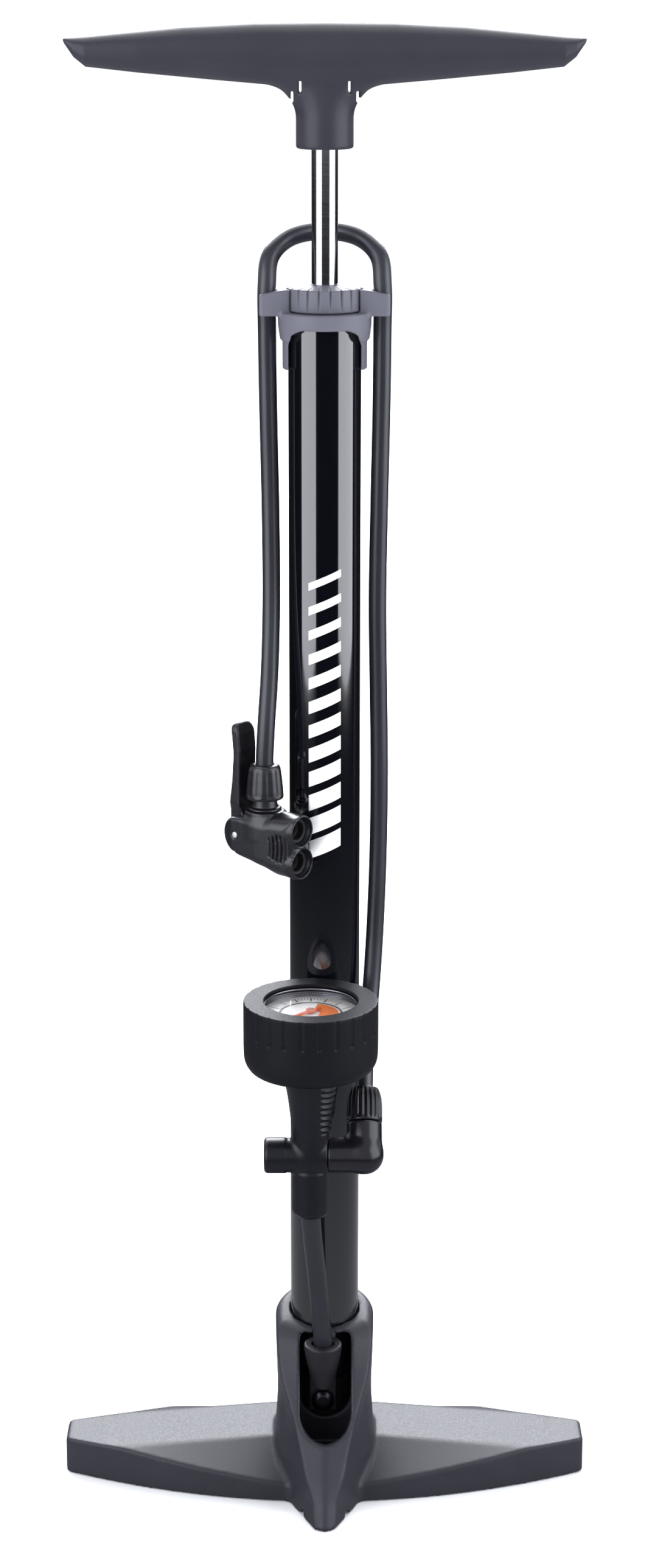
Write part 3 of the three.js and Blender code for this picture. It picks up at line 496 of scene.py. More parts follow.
def plated(name, colour, grain, detail, low, high):
    """Bare or plated metal. A haze with marks of grain mm takes its roughness from low to high."""
    material, shader = finish(name, Metallic=1.0, Base_Color=linear(colour))
    join_to(material, shader,
            Roughness=ranged(material, noise(material, grain, detail), low, high))
    return material


# Zinc plating leaves a satin grey skin on the screws. The hollow bolt has a domed head and is
# blackened, which leaves it dark with a dull shine.
zinc_steel = plated("zinc_plated_steel", "a6a8ad", 1.4, 4.0, 0.24, 0.46)
black_oxide = plated("bolt_black_oxide_steel", "2d2d31", 1.2, 4.0, 0.22, 0.42)

bolt_outline = rounded([[1.2, 10], [2.8, 10], [2.8, 24.3], [5.2, 24.3], [5.2, 26.2], [3.4, 27.9],
                        [0, 28.4], [0, 22], [1.2, 22]], 0.5)
make_turned("outlet_bolt", lay_down(turned(bolt_outline, 40), CONNECTOR_X, OUTLET_Z),
            black_oxide, "steel", ["connector_screw"])

# ---- barrel ----
# A welded steel tube, 32 mm across, stove-enamelled in gloss black. One plain row of slanting
# bars is printed down the front as its only decoration.
BARREL_BORE = 14.8
BARREL_LOW, BARREL_HIGH = 52.0, 551.7
barrel_enamel, shader = finish("barrel_stoved_black_enamel", Base_Color=linear("05060b"),
                               IOR=1.52, Specular_IOR_Level=0.9, Roughness=0.09,
                               Coat_Weight=1.0, Coat_Roughness=0.04)
peel = noise(barrel_enamel, 5, 1.0)
join_to(barrel_enamel, shader, Normal=bumped(barrel_enamel, peel, 0.25, 0.02))
barrel_outline = rounded([[BARREL_BORE, BARREL_LOW], [BARREL_R, BARREL_LOW],
                          [BARREL_R, BARREL_HIGH], [BARREL_BORE, BARREL_HIGH]], 0.4)
make_turned("barrel_tube", turned(barrel_outline, 128), barrel_enamel, "barrel_paint",
            ["barrel"])

BARS_LOW, BARS_HIGH = 312.0, 447.0
BAR_COUNT = 12
BAR_HALF = 7.4  # half width of the row of bars, round the barrel
BAR_SLANT = 3.2  # how far a bar rises over that half width
print_ink = finish("screen_print_white_ink", Base_Color=linear("f4f4f2"), Roughness=0.4)[0]


def bar(low, high):
    """One printed bar: a strip of the barrel's surface between two slanting lines, a few
    hundredths of a millimetre proud, closed behind."""
    arc = np.linspace(-BAR_HALF, BAR_HALF, 18)[:, None]
    angle = -pi / 2 + arc / BARREL_R
    radius = BARREL_R + np.array([[0.05, 0.05, -0.1, -0.1]])
    z = np.array([[low, high, high, low]]) + BAR_SLANT * arc / BAR_HALF
    ring = stack([radius * cos(angle), radius * sin(angle), z], -1)
    ends = [np.repeat(ring[[k]].mean(1, keepdims=True), 4, 1) for k in (0, -1)]
    return concatenate([ends[0], ring, ends[1]], 0)


pitch = (BARS_HIGH - BARS_LOW) / BAR_COUNT
tall = pitch * np.linspace(0.74, 0.30, BAR_COUNT)
bars = [bar(BARS_LOW + i * pitch, BARS_LOW + i * pitch + tall[i]) for i in range(BAR_COUNT)]
faces = quads(*bars[0].shape[:2])
all_faces = concatenate([faces + i * bars[0].shape[0] * 4 for i in range(BAR_COUNT)])
make("barrel_print", concatenate([b.reshape(-1, 3) for b in bars]), all_faces, print_ink,
     "dial_card")

# ---- hose bracket and cap ----
# The bracket is a ring pressed over the barrel's top, with two ears that clip the hose and two
# cheeks that run down the barrel's sides. The cap screws down through it and guides the rod.
HOSE_SPREAD = 25.2
EAR_HALF = 28.5
SKIRT_LOW, SKIRT_HIGH = 529.0, 554.0
CAP_R = 16.3
CAP_LOW, CAP_HIGH = 554.3, 564.1
CAP_RIBS = 20
ROD_R = 5.7


def bracket_solid(x, y, z):
    """A stepped ring cut by an arch in front and behind, and a beam through it whose top is an
    arc. The beam is open at its ends for the hose, and the ring's middle for the cap."""
    rho, across = hypot(x, y), abs(x)
    wide = interp(z, [SKIRT_LOW, 541, 542.2, 548, SKIRT_HIGH], [18.5, 18.5, 19.6, 20.4, 20.4])
    skirt = meet(meet(rho - wide, SKIRT_LOW - z, 0.5), z - SKIRT_HIGH, 0.8)
    arch_half = interp(z, [SKIRT_LOW, 540, 544.6, 547], [15.8, 15.8, 14.4, 11.6])
    arch = meet(across - arch_half, z - 547.2, 2.2)
    skirt = meet(skirt, -arch, 0.5)
    top = 564.9 - 3.4 * (across / EAR_HALF) ** 2
    beam = meet(meet(abs(y) - 7.5, across - EAR_HALF, 1.6), meet(z - top, 552.3 - z, 0.8), 0.8)
    body = blend_in(skirt, beam, 1.5)
    channel = hypot(across - HOSE_SPREAD, y) - HOSE_R - 0.5
    gate = meet(abs(y) - 3, HOSE_SPREAD - across, 0.1)
    body = meet(body, -minimum(channel, gate), 0.6)
    seat = meet(rho - CAP_R - 0.3, SKIRT_HIGH - z, 0.1)
    bore = meet(rho - BARREL_R - 0.3, z - 552, 0.1)
    return meet(meet(body, -seat, 0.3), -minimum(bore, rho - BARREL_BORE), 0.3)


cap_nylon = moulded("cap_grey_nylon_moulded", "55555e", "60606a", roughness=0.47, grain=0.8,
                    depth=0.035)
make("hose_bracket", *cast(bracket_solid, [-EAR_HALF, -21, SKIRT_LOW], [EAR_HALF, 21, 565],
                           step=0.7), cap_nylon, "cap_plastic", ["cap_bracket"])

cap_outline = rounded([[6.0, 563], [7.3, 562.4], [7.3, 536], [BARREL_BORE - 0.3, 536],
                       [BARREL_BORE - 0.3, CAP_LOW], [CAP_R, CAP_LOW], [CAP_R, CAP_HIGH],
                       [9.4, 565.3], [6.0, 565.3]], 0.7, 5)
cap_grid = turned(cap_outline, CAP_RIBS * 24)
angle = np.arctan2(cap_grid[..., 1], cap_grid[..., 0])
# The grooves are sunk only where this mask of the knurled wall is above 0.
on_rim = clip((cap_outline[:, 0] - 14.9) / 0.6, 0, 1)
on_rim *= clip((cap_outline[:, 1] - 555) / 0.8, 0, 1)
sunk = 1.1 * np.exp(-(from_nearest(angle, CAP_RIBS, CAP_R) / 0.46) ** 4) * on_rim[:, None]
cap_grid[..., :2] *= (1 - sunk / CAP_R)[..., None]
make_turned("barrel_screw_cap", cap_grid, cap_nylon, "cap_plastic", ["barrel_cap"])

# ---- piston rod ----
# A steel tube, hard-chromed and polished: nearly a mirror, with hair lines round it from the
# last polishing. It screws onto the piston below and into the handle above.
rod_chrome, shader = finish("rod_polished_chrome", Metallic=1.0, Base_Color=linear("c9cacf"))
place = put(rod_chrome, "TexCoord", {}).outputs["Object"]
stretch = put(rod_chrome, "Mapping", {"Vector": place, "Scale": (40.0, 40.0, 2600.0)}).outputs[0]
hair = put(rod_chrome, "TexNoise", {"Vector": stretch, "Scale": 1.0, "Detail": 3.0}).outputs[0]
join_to(rod_chrome, shader, Roughness=ranged(rod_chrome, hair, 0.07, 0.17))
ROD_BORE, ROD_LOW, ROD_HIGH = 4.2, 141.2, 655.0
rod_outline = rounded([[ROD_BORE, ROD_LOW], [ROD_R, ROD_LOW], [ROD_R, ROD_HIGH],
                       [ROD_BORE, ROD_HIGH]], 0.3)
make_turned("rod_tube", turned(rod_outline, 72), rod_chrome, "rod_chrome", ["piston_rod"],
            body="plunger")

# ---- handle ----
# One moulding of glass-filled nylon: a wing-shaped grip that thins towards its tips, on a round
# neck with four narrow slits beside it.
HANDLE_HALF = 111.4
HANDLE_TOP = 676.8
NECK_R, NECK_LOW = 12.4, 623.4


def handle_solid(x, y, z):
    """Across the grip each section is a rounded rectangle of a super-ellipse, whose height, depth
    and middle follow the distance from the rod. The round neck spreads sideways into it."""
    across = abs(x)
    stop = [0, 22, 50, 80, 102, 107, HANDLE_HALF]
    high = interp(across, [0, 30, 60, 85, 102, HANDLE_HALF],
                  [HANDLE_TOP, 676.5, 675, 672.6, 670.8, 670])
    low = interp(across, stop, [648.8, 650, 652.4, 655.2, 657.6, 661.6, 668.2])
    deep = interp(across, stop, [14.8, 14.6, 14, 12.5, 10, 8.4, 6])
    tall = (high - low) / 2
    ball = (abs(y / deep) ** 2.5 + abs((z - low - tall) / tall) ** 2.5) ** 0.4
    grip = meet((ball - 1) * minimum(tall, deep), across - HANDLE_HALF, 0.8)
    rho = hypot(x, y)
    spread = NECK_R + 9.6 * clip((z - 636) / 14.5, 0, 1.2) ** 2.2
    neck = hypot(x * NECK_R / spread, y) - NECK_R
    body = blend_in(grip, meet(meet(neck, NECK_LOW - z, 1.2), z - 660, 1), 2.5)
    inner_slit = meet(abs(across - 10.5) - 0.6, abs(z - 649.5) - 2.6, 0.2)
    outer_slit = meet(abs(across - 14) - 0.6, abs(z - 645.3) - 2.4, 0.2)
    socket = meet(rho - ROD_R - 0.3, z - 655.3, 0.2)
    body = meet(body, -socket, 0.3)
    return meet(body, -minimum(inner_slit, outer_slit), 0.3)


handle_nylon = moulded("handle_dark_nylon_moulded", "26262d", "2d2d35", roughness=0.40,
                       grain=0.8, depth=0.03)
make("handle_grip", *cast(handle_solid, [-HANDLE_HALF, -15, NECK_LOW],
                          [HANDLE_HALF, 15, HANDLE_TOP], step=0.75),
     handle_nylon, "handle_plastic", ["handle"], body="plunger")

# ---- air pipe ----
# A stiff nylon pipe that carries the air from the banjo up and forward to the gauge tower. It
# is extruded, which leaves it smooth.
TOWER_X, TOWER_Y = -6.2, -47.5
pipe_route = [[CONNECTOR_X, CONNECTOR_Y, 66.5], [CONNECTOR_X, CONNECTOR_Y, 78], [-1.6, -28.8, 86],
              [-3.4, -36.5, 112], [-5.6, -45.2, 138], [TOWER_X, TOWER_Y, 148],
              [TOWER_X, TOWER_Y, 157]]
pipe_grid, _ = tube(evenly(smooth_route(pipe_route, SPAN_STEPS), 1.2), PIPE_R, 36, [1, 0, 0])
pipe_nylon = moulded("pipe_black_nylon_extruded", "1c1c21", "222228", roughness=0.36,
                     grain=1.6, depth=0.01)
make("tower_air_pipe", pipe_grid, quads(*pipe_grid.shape[:2]), pipe_nylon,
     "black_plastic", ["air_pipe"])

# ---- gauge tower ----
# A black ABS tee: a collar over the pipe, a cross arm that the hose's elbow plugs into, and a
# cone with grip rings that carries the gauge.
TEE_Z, TEE_R = 178.5, 8.2
TEE_LEFT, TEE_RIGHT = -27.5, 1.3
COLLAR_LOW, CONE_HIGH = 149.5, 219.2
CONE_RING = 2.9  # pitch of the cone's grip rings


def tower_solid(x, y, z):
    """A turned column and a turned cross arm, joined by a fillet, with rings raised on the
    cone's right side and the pipe's socket sunk from below."""
    rho = hypot(x - TOWER_X, y - TOWER_Y)
    wide = interp(z, [COLLAR_LOW, 152, 171.5, 173, 188, 193, 198, 203, 208, 213, CONE_HIGH],
                  [6.8, 8.8, 8.8, 8.4, 8.7, 9, 9.4, 10, 10.7, 11.6, 12.8])
    side = clip((x + 2.4) / 1.6, 0, 1) * clip((z - 190) / 2, 0, 1)
    side *= clip((217 - z) / 2, 0, 1)
    wide = wide + 0.55 * side * cos(2 * pi * (z + 0.25 * (x - TOWER_X)) / CONE_RING)
    spine = np.exp(-((x - TOWER_X + 1) / 1.6) ** 2) * (y < TOWER_Y) * clip((z - 190) / 3, 0, 1)
    column = meet(meet(rho - wide - 0.5 * spine, COLLAR_LOW - z, 1.2), z - CONE_HIGH, 0.4)
    thick = interp(x, [-18, -17], [TEE_R, TEE_R - 0.35])
    arm = hypot(y - TOWER_Y, z - TEE_Z) - thick
    arm = meet(meet(arm, TEE_LEFT - x, 1.8), x - TEE_RIGHT, 0.4)
    body = blend_in(column, arm, 1.6)
    socket = meet(rho - PIPE_R - 0.4, z - 158, 0.2)
    beyond = meet(x - TEE_RIGHT, 0 * x - 1, 0.05)
    body = meet(body, np.where(z < TEE_Z + TEE_R + 0.6, beyond, -5.0), 0.05)
    thread = meet(rho - 5.3, 204 - z, 0.2)
    return meet(body, -minimum(socket, thread), 0.4)


tower_abs = moulded("tower_black_abs_moulded", "0a0a10", "0e0f16", roughness=0.34, grain=0.8,
                    depth=0.01)
make("gauge_tower_tee", *cast(tower_solid, [TEE_LEFT, -63, 145], [10, -32, CONE_HIGH], step=0.6),
     tower_abs, "black_plastic", ["gauge_tower"])

# ---- gauge ----
# The gauge lies face up in a thick rubber boot. The boot has 24 finger flutes round its upper
# part; inside its lip are a bright stepped ring, a clear lens, the card dial and the needle.
GAUGE_R = 30.3
GAUGE_LOW, GAUGE_HIGH = 219.5, 253.0
OPENING_R = 21.0
DIAL_Z = 245.4
FLUTES = 24
FLUTE_END = 240.2
boot_outline = rounded(
    [[11, GAUGE_LOW], [23, GAUGE_LOW], [27.6, GAUGE_LOW + 1.6], [30, GAUGE_LOW + 5.6],
     [GAUGE_R, GAUGE_LOW + 11], [GAUGE_R, GAUGE_HIGH - 0.2], [GAUGE_R - 0.6, GAUGE_HIGH],
     [OPENING_R, GAUGE_HIGH], [OPENING_R, GAUGE_HIGH - 1.5], [27, GAUGE_HIGH - 1.5],
     [27, GAUGE_LOW + 5], [11, GAUGE_LOW + 5]],
    [0.5, 2.5, 2.2, 2.4, 2.5, 1.6, 1.6, 0.6, 0.4, 0.4, 0.4, 0.4], 5)
# The long outer wall gets more points, so that the flutes can end part of the way down it.
wall = stack([np.full(40, GAUGE_R), np.linspace(GAUGE_LOW + 15, GAUGE_HIGH - 2.2, 40)], 1)
turn_in = int(np.argmax((boot_outline[:, 0] > GAUGE_R - 0.01) & (boot_outline[:, 1] > 245)))
boot_outline = concatenate([boot_outline[:turn_in], wall, boot_outline[turn_in:]])
boot_grid = turned(boot_outline, FLUTES * 24, TOWER_X, TOWER_Y)
angle = np.arctan2(boot_grid[..., 1] - TOWER_Y, boot_grid[..., 0] - TOWER_X)
from_flute = from_nearest(angle, FLUTES, GAUGE_R)
height = boot_grid[..., 2]
outer = boot_outline[:, :1] > 27.5
below = maximum(FLUTE_END - height, 0)
flute = clip(1 - hypot(from_flute, below * 1.2) / 1.15, 0, 1) ** 0.6
dot = np.exp(-(from_flute ** 2 + (height - FLUTE_END + 0.3) ** 2) / 0.5)
depth = outer * (0.4 * flute + 0.45 * dot)
boot_grid[..., 0] -= depth * cos(angle)
boot_grid[..., 1] -= depth * sin(angle)
boot_rubber = moulded("boot_black_rubber_moulded", "0a0a0f", "0e0f15", roughness=0.5, grain=0.9,
                      depth=0.03, gloss=0.16)
make_turned("gauge_rubber_boot", boot_grid, boot_rubber, "boot_rubber", ["gauge_boot"])


def gauge_ring(name, corners, radius, steps, material, slot, *replaced):
    """An outline with rounded corners, turned about the gauge's own axis."""
    grid = turned(rounded(corners, radius, steps), 96, TOWER_X, TOWER_Y)
    return make_turned(name, grid, material, slot, replaced)


# The ring under the lip is turned steel in bright steps; below it a plain bright wall goes down
# to the dial.
ring_steel = finish("ring_turned_bright_steel", Metallic=1.0, Base_Color=linear("8f9096"),
                    Roughness=0.2)[0]
gauge_ring("lens_step_ring", [[22.4, 249.8], [26.6, 249.8], [26.6, 251.2], [20.6, 251.2],
                              [20.6, 250.6], [21.6, 250.6], [21.6, 250.2], [22.4, 250.2]],
           0.15, 2, ring_steel, "steel", "lens_ring")
gauge_ring("gauge_steel_case", [[5.6, 225], [26.6, 225], [26.6, 249.3], [25.6, 249.3],
                                [25.6, 226.2], [5.6, 226.2]], 0.3, 3, ring_steel, "steel",
           "gauge_case")
gauge_ring("gauge_dial_ring", [[21.9, DIAL_Z + 0.9], [25.3, DIAL_Z + 0.9], [25.3, 248.3],
                               [23.2, 248.3], [23.2, 247.6], [22.6, 247.6], [22.6, 246.9],
                               [21.9, 246.9]], 0.12, 2, ring_steel, "steel")

lens_acrylic = finish("lens_clear_acrylic", Roughness=0.02, IOR=1.49, Specular_IOR_Level=0.3,
                      Transmission_Weight=1.0)[0]
lens = gauge_ring("gauge_clear_lens", [[0, 248.5], [24.8, 248.5], [24.8, 249.4], [0, 249.4]],
                  0.2, 3, lens_acrylic, "lens_clear", "gauge_lens")
lens.visible_shadow = False  # clear plastic casts no shadow on the card

# Printed card: white, with black scale marks round it and an orange band for the high range.
SCALE_END, ORANGE_START = 270.0, 150.0
dial_print, shader = finish("dial_printed_card", Roughness=0.5)
place = put(dial_print, "TexCoord", {}).outputs["Object"]
centred = put(dial_print, "Mapping", {"Vector": place, "Location": (
    -TOWER_X * MM, -TOWER_Y * MM, 0.0)}).outputs[0]
flat = put(dial_print, "VectorMath", {0: centred, 1: (1 / MM, 1 / MM, 0.0)},
           operation="MULTIPLY").outputs[0]
reach = put(dial_print, "VectorMath", {0: flat}, operation="LENGTH").outputs[1]
parts = put(dial_print, "SeparateXYZ", {0: flat})
# Angle from the zero mark, clockwise, in degrees: zero lies front left.
turn = calc(dial_print, "ARCTAN2", parts.outputs[0], parts.outputs[1])
degrees = calc(dial_print, "MULTIPLY", turn, 180 / pi)
sweep = calc(dial_print, "MODULO", calc(dial_print, "ADD", degrees, 495.0), 360.0)


def both(first, second):
    """1 where both of the dial's masks are 1."""
    return calc(dial_print, "MULTIPLY", first, second)


def between(value, low, high):
    """1 where value lies between low and high, and 0 elsewhere."""
    return both(calc(dial_print, "GREATER_THAN", value, low),
                calc(dial_print, "LESS_THAN", value, high))


def marks(step, wide, low, high):
    """Printed marks every step degrees and wide degrees across, from radius low to high."""
    in_step = calc(dial_print, "MODULO", calc(dial_print, "ADD", sweep, wide / 2), step)
    line = both(calc(dial_print, "LESS_THAN", in_step, wide), between(reach, low, high))
    return both(line, between(sweep, -1.0, SCALE_END + 1.5))


orange = both(between(sweep, ORANGE_START, SCALE_END), between(reach, 4.0, 12.6))
circle = both(between(sweep, 0.0, SCALE_END), between(reach, 13.2, 14.4))
black = calc(dial_print, "MAXIMUM", circle, calc(
    dial_print, "MAXIMUM", marks(22.5, 2.2, 15.4, 19.6), marks(4.5, 0.9, 17.4, 19.6)))
card = mixed(dial_print, orange, linear("f4f3ef"), linear("f4780e"))
join_to(dial_print, shader, Base_Color=mixed(dial_print, black, card, linear("18181a")))
gauge_ring("gauge_printed_dial", [[1.4, DIAL_Z], [25.2, DIAL_Z], [25.2, DIAL_Z + 0.8],
                                  [1.4, DIAL_Z + 0.8]], 0.1, 2, dial_print, "dial_card",
           "gauge_dial")

# ---- hose elbow ----
# The elbow plugs into the tower's cross arm, turns up and leans back; its fluted nut clamps the
# hose. Both are glossy black nylon.
ELBOW_X = 18.1
ELBOW_R = 8.0
LEAN = np.radians(35)
NUT_START, NUT_END = 15.0, 31.0


def elbow_solid(x, y, z):
    """A stub along X and a leg that leans back, both 8 mm in radius, round a common knee."""
    dy, dz = y - TOWER_Y, z - TEE_Z
    stub = hypot(hypot(dy, dz), maximum(x - ELBOW_X, 0)) - ELBOW_R
    stub = meet(stub, TEE_RIGHT + 0.3 - x, 0.5)
    up = dy * sin(LEAN) + dz * cos(LEAN)
    over = dy * cos(LEAN) - dz * sin(LEAN)
    leg = hypot(hypot(x - ELBOW_X, over), minimum(up, 0)) - ELBOW_R
    leg = meet(leg, up - NUT_START + 0.3, 0.5)
    spigot = meet(hypot(x - ELBOW_X, over) - 6, up - NUT_START - 4, 0.3)
    spigot = meet(spigot, -up, 0.1)
    plug = meet(meet(hypot(dy, dz) - 5.2, TEE_RIGHT - 10 - x, 0.3), x - ELBOW_X, 0.1)
    return minimum(minimum(blend_in(stub, leg, 2.5), spigot), plug)


elbow_nylon = moulded("elbow_gloss_black_nylon_moulded", "0c0c11", "121218", roughness=0.24,
                      grain=6, depth=0.002, gloss=0.45)
make("hose_elbow_bend", *cast(elbow_solid, [-10, -58, 168], [27, -26, 202], step=0.6),
     elbow_nylon, "black_plastic", ["hose_elbow"])


def lean_back(grid):
    """A grid that was made upright on the knee's axis, tilted with the leg and set in place."""
    x, y, z = grid[..., 0], grid[..., 1], grid[..., 2]
    return stack([ELBOW_X + x, TOWER_Y + y * cos(LEAN) + z * sin(LEAN),
                  TEE_Z - y * sin(LEAN) + z * cos(LEAN)], -1)


def fluted(grid, count, depth, low, high, least_radius):
    """Sinks round flutes into the outer wall of an upright grid, between two heights."""
    angle = np.arctan2(grid[..., 1], grid[..., 0])
    radius = hypot(grid[..., 0], grid[..., 1])
    wave = (0.5 + 0.5 * cos(count * angle)) ** 1.5
    window = clip((grid[..., 2] - low) / 1.2, 0, 1) * clip((high - grid[..., 2]) / 2.5, 0, 1)
    window = window ** 0.5 * (radius > least_radius)
    shrink = 1 - depth * wave * window / maximum(radius, 1)
    return stack([grid[..., 0] * shrink, grid[..., 1] * shrink, grid[..., 2]], -1)


nut_outline = rounded(
    [[6.3, NUT_START], [8.2, NUT_START], [8.25, NUT_START + 3], [8.25, NUT_START + 6],
     [8.2, NUT_START + 9], [8.0, NUT_START + 11], [7.4, NUT_END - 2.4], [6.4, NUT_END],
     [HOSE_R + 0.1, NUT_END], [HOSE_R + 0.1, NUT_START + 6], [6.3, NUT_START + 6]], 0.7)
nut_grid = fluted(turned(nut_outline, 240), 20, 0.7, NUT_START + 1.5, NUT_END - 0.6, 6.6)
make_turned("elbow_fluted_nut", lean_back(nut_grid), elbow_nylon, "black_plastic",
            ["elbow_hose_nut"])

# ---- valve head ----
# A twin head in black ABS: a cross body with two mouths, one for each kind of tyre valve, a neck
# for the hose, and a cam lever on a steel pin. It is turned 40 degrees towards the front.
HEAD_X, HEAD_Y, HEAD_Z = -34.4, -8.0, 320.4
YAW = np.radians(40)
OUTLETS = (5.2, -9.6)  # heights of the two mouths' axes over the pin
NECK_AT = 9.8
GROOVE_AT, GROOVE_PITCH = 25.6, 2.2


def in_head(x, y, z):
    """A point's place along, across and above the head, from the pin."""
    dx, dy = x - HEAD_X, y - HEAD_Y
    return (dx * cos(YAW) - dy * sin(YAW), dx * sin(YAW) + dy * cos(YAW), z - HEAD_Z)


def from_head(grid):
    """A grid that was made along the head, set in place."""
    u, v, w = grid[..., 0], grid[..., 1], grid[..., 2]
    return stack([HEAD_X + u * cos(YAW) + v * sin(YAW),
                  HEAD_Y - u * sin(YAW) + v * cos(YAW), HEAD_Z + w], -1)


def head_solid(x, y, z):
    """The body's side is a rounded wedge that deepens from the pin to the mouths, with cheeks
    that stay flat; two round mouths stand out of its end. Five curved grip grooves are sunk in
    each cheek, and the neck's cup stands on top."""
    u, v, w = in_head(x, y, z)
    # Side outline: a circle round the pin, and upper and lower edges that leave it.
    pin_round = hypot(minimum(u, 0), w) - 8.2
    upper = interp(u, [-9, 0, 8, 20, 33], [7.6, 8.2, 9, 11.2, 11.8])
    lower = interp(u, [-9, 0, 8, 20, 33], [-8.2, -8.8, -11, -15, -16.6])
    middle, half = (upper + lower) / 2, (upper - lower) / 2
    outline = meet(np.where(u < 0, pin_round, abs(w - middle) - half), u - 31.4, 1)
    cheeks = interp(u, [-8, -2, 12, 31], [8.4, 10, 10, 7.9])
    body = meet(outline, abs(v) - cheeks, interp(u, [2, 16], [1.6, 5.4]))
    for mouth in OUTLETS:
        barrel = hypot(v, w - mouth)
        flange = meet(meet(barrel - 7.4, u - 32.2, 0.8), 20 - u, 0.5)
        body = blend_in(body, flange, 0.8)
    cup = meet(hypot(u - NECK_AT, v) - interp(w, [5, 9, 11.9], [9, 8.9, 9.2]), w - 11.9, 0.8)
    body = blend_in(body, meet(cup, -w, 0.1), 2.2)
    shift = u - GROOVE_AT + 0.018 * (w + 2.5) ** 2
    groove = abs((shift / GROOVE_PITCH) % 1 - 0.5) * GROOVE_PITCH - 0.42
    reach = abs(w + 2.2) - 6.8 + 0.45 * abs(shift)
    groove = meet(meet(groove, reach, 0.3), abs(shift) - 5.5, 0.2)
    groove = meet(groove, cheeks - 1.1 - abs(v), 0.2)
    body = meet(body, -groove, 0.3)
    for mouth in OUTLETS:
        well = meet(hypot(v, w - mouth) - interp(u, [29, 31], [5.7, 6.6]), 20.5 - u, 0.3)
        body = meet(body, -well, 0.5)
    slot = minimum(meet(abs(v) - 5.3, u - 3.2, 0.3),
                   meet(meet(abs(v) - 5.3, u - 7.9, 0.3), w - 4.6, 0.3))
    body = meet(body, -slot, 0.5)
    neck_socket = meet(hypot(u - NECK_AT, v) - 4.6, 6 - w, 0.1)
    pin_hole = hypot(u, w) - 1.7
    return meet(meet(body, -neck_socket, 0.3), -pin_hole, 0.3)


head_abs = moulded("head_black_abs_moulded", "0e0e13", "14141a", roughness=0.32, grain=0.8,
                   depth=0.008, gloss=0.55)
head = make("valve_head_body", *cast(head_solid, [-46, -42, 303], [4, 8, 333], step=0.55),
            head_abs, "black_plastic", ["head_body"])


def lever_solid(x, y, z):
    """The lever's side outline is a strip about a curved middle line, thin in the arm and thick
    at the cam, and it widens above the cheeks. The cam is round the pin, with a toe that presses
    forward."""
    u, v, w = in_head(x, y, z)
    heel = interp(w, [-7, -5, -2, 2, 8, 14, 24, 36, 44, 49, 51],
                  [-1.5, -3.4, -5, -6.6, -6.9, -6.6, -5.2, -4.3, -5, -5.8, -4.6])
    toe = interp(w, [-7, -5.6, 0, 6, 12, 24, 38, 46, 50.4, 51],
                 [1.5, 2.4, 2.6, 2, -0.5, -0.5, -0.2, -0.9, -2.6, -4.0])
    middle, half = (heel + toe) / 2, (toe - heel) / 2
    side = meet(abs(u - middle) - half, abs(w - 22) - 28.9, 1.4)
    wide = interp(w, [9.5, 13], [4.9, 5.8])
    body = meet(side, meet(abs(v) - wide, w - 50.9, 4.5), 0.9)
    dish = abs(u + 8.4) - interp(w, [10, 14, 40, 44], [0, 2.6, 3.2, 0])
    dish = meet(dish, abs(v) - 3.2, 0.8)
    dish = meet(dish, abs(w - 27) - 15, 1)
    return meet(meet(body, -dish, 0.6), -(hypot(u, w) - 1.75), 0.3)


make("valve_head_lever", *cast(lever_solid, [-44, -15, 313], [-27, 3, 372], step=0.5), head_abs,
     "black_plastic", ["head_lever"], body="lever")

neck_outline = rounded([[2.4, 5.8], [4.3, 5.8], [4.3, 12.2], [7.6, 12.2], [7.4, 13], [5.8, 13.6],
                        [5.4, 16.9], [4.4, 16.9], [4.4, 20], [2.4, 20]], 0.5)
make_turned("valve_head_neck", from_head(turned(neck_outline, 64, NECK_AT)), head_abs,
            "black_plastic", ["head_neck"])
nut_outline = rounded(
    [[4.8, 17.2], [8.3, 17.2], [8.5, 18.6], [8.4, 21], [8.1, 24], [7.8, 27], [7.3, 30.6],
     [6.6, 32.4], [5.4, 33], [HOSE_R + 0.1, 33], [HOSE_R + 0.1, 20.4], [4.8, 20.4]], 0.6)
nut_grid = fluted(turned(nut_outline, 200), 10, 0.4, 18.6, 32, 6.4)
nut_grid[..., 0] += NECK_AT
head_nut = make_turned("valve_head_nut", from_head(nut_grid), head_abs, "black_plastic",
                       ["head_hose_nut"])


def along_head(grid, above):
    """A grid that was made upright, laid along the head at that height over the pin."""
    return from_head(stack([grid[..., 2], grid[..., 0], above + grid[..., 1]], -1))


seal_rubber = moulded("seals_black_nitrile_rubber", "121214", "19191b", roughness=0.62,
                      grain=0.6, depth=0.02)
gland_outline = rounded([[1.6, 21], [5.6, 21], [5.6, 29.4], [4.1, 29], [4.1, 26], [3, 25],
                         [3, 22.5], [1.6, 22.5]], 0.5)
glands = [make_turned(f"valve_{name}_gland", along_head(turned(gland_outline, 56), above),
                      seal_rubber, "seal_rubber", ["gland_" + name])
          for name, above in zip(("upper", "lower"), OUTLETS)]
# The pin's ends are upset into low domes that shine against the black body.
pin_bright = finish("pin_nickel_plated_steel", Metallic=1.0, Base_Color=linear("f2f2f4"),
                    Roughness=0.42)[0]
pin_outline = rounded([[0, -10.15], [1.3, -10.05], [1.6, -9.6], [1.6, 9.6], [1.3, 10.05],
                       [0, 10.15]], 0.3)
pin_grid = turned(pin_outline, 32)
pin = make_turned("lever_steel_pin", from_head(stack(
    [pin_grid[..., 0], pin_grid[..., 2], pin_grid[..., 1]], -1)), pin_bright,
    "rod_chrome", ["lever_pin"])

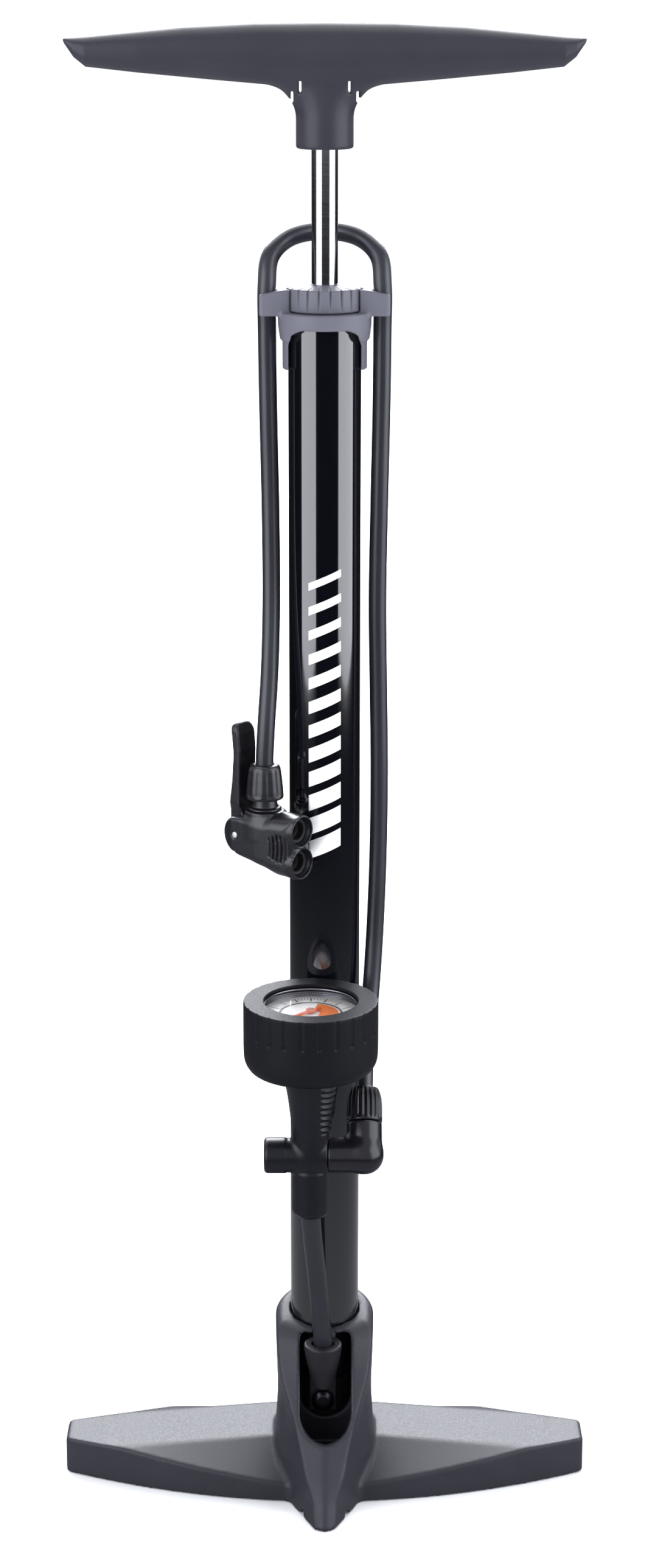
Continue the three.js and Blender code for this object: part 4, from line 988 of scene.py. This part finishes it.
# ---- parts inside ----
# Turned, stamped and moulded parts that show little or not at all: each keeps its own shape and
# takes the finish of what it is made of.
brass = plated("brass_machined", "b58d3d", 1.5, 3.0, 0.22, 0.4)
needle_paint = moulded("needle_orange_paint", "e0601a", "e86a20", roughness=0.4, grain=1.0,
                       depth=0.01)
for material, names in {
    zinc_steel: ["base_screw_1", "base_screw_2", "base_screw_3", "piston_washer", "piston_nut",
                 "handle_stud", "needle_arbor", "gland_plunger", "check_valve_spring"],
    brass: ["gauge_socket", "bourdon_tube", "movement_plate", "sector_gear"],
    small_nylon: ["barrel_foot", "rod_bush", "piston_head"],
    seal_rubber: ["foot_o_ring", "check_valve_disc", "rod_wiper", "bump_ring", "piston_cup_seal",
                  "elbow_o_ring"],
    needle_paint: ["gauge_needle"],
}.items():
    for name in names:
        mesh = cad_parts[name].data
        mesh.materials.clear()
        mesh.materials.append(material)

# ---- floor and light ----
# A wide pale floor under an even, bright studio: a softbox on each side in front, one high
# behind, and a broad soft light overhead. The world is bright above the horizon and dim below.
FLOOR_FAR, FLOOR_Z = 90.0, -0.0002
floor_mesh = bpy.data.meshes.new("floor")
floor_mesh.from_pydata([(x * FLOOR_FAR, y * FLOOR_FAR, FLOOR_Z)
                        for x, y in ((-1, -1), (1, -1), (1, 1), (-1, 1))], [], [(0, 1, 2, 3)])
floor_paint = finish("floor_white_matt", Base_Color=linear("f7f7f7"), Roughness=1.0)[0]
floor_mesh.materials.append(floor_paint)
floor = linked("floor", floor_mesh)
# Gloss paint and chrome mirror the dim room in front of the pump instead of the white floor.
floor.visible_glossy = False


def softbox(name, azimuth, middle_z, width, height, watts, distance=1.6, nod=0.0):
    """An upright area light at an angle round the pump from its front, facing the pump, and
    turned down by nod."""
    light = bpy.data.lights.new(name, "AREA")
    light.shape = "RECTANGLE"
    light.size, light.size_y, light.energy = width, height, watts
    light.color = linear("f6f8ff")[:3]
    stand = linked(name, light)
    turn = np.radians(azimuth)
    stand.location = (distance * sin(turn), -distance * cos(turn), middle_z)
    stand.rotation_euler = (pi / 2 - np.radians(nod), 0, turn)


softbox("softbox_left", -53, 0.95, 1.5, 1.9, 29)
softbox("softbox_right", 72, 0.95, 1.7, 1.9, 33)
# Seen only by faces that lie level: it stands too high for the gauge's lens to mirror it.
softbox("softbox_behind", 180, 2.15, 3.2, 1.5, 260, distance=3.0, nod=35)
sun = linked("overhead", bpy.data.lights.new("overhead", "SUN"))
sun.data.energy = 1.7
sun.data.angle = np.radians(60)
sun.rotation_euler = (np.radians(-22), 0, 0)

world = bpy.data.worlds.new("studio")
world.use_nodes = True
bpy.context.scene.world = world
sky = world.node_tree.nodes["Background"]
sky.inputs["Color"].default_value = linear("f4f7ff")
way = put(world, "TexCoord", {}).outputs["Generated"]
rise = put(world, "SeparateXYZ", {0: way}).outputs[2]
around = ranged(world, rise, 0.01, 0.75, -0.055, -0.03, interpolation_type="SMOOTHSTEP")
below = ranged(world, rise, 0.0, 0.4, -0.26, -0.46, interpolation_type="SMOOTHSTEP")
world.node_tree.links.new(calc(world, "ADD", around, below), sky.inputs["Strength"])
bpy.context.scene.view_settings.view_transform = "Standard"
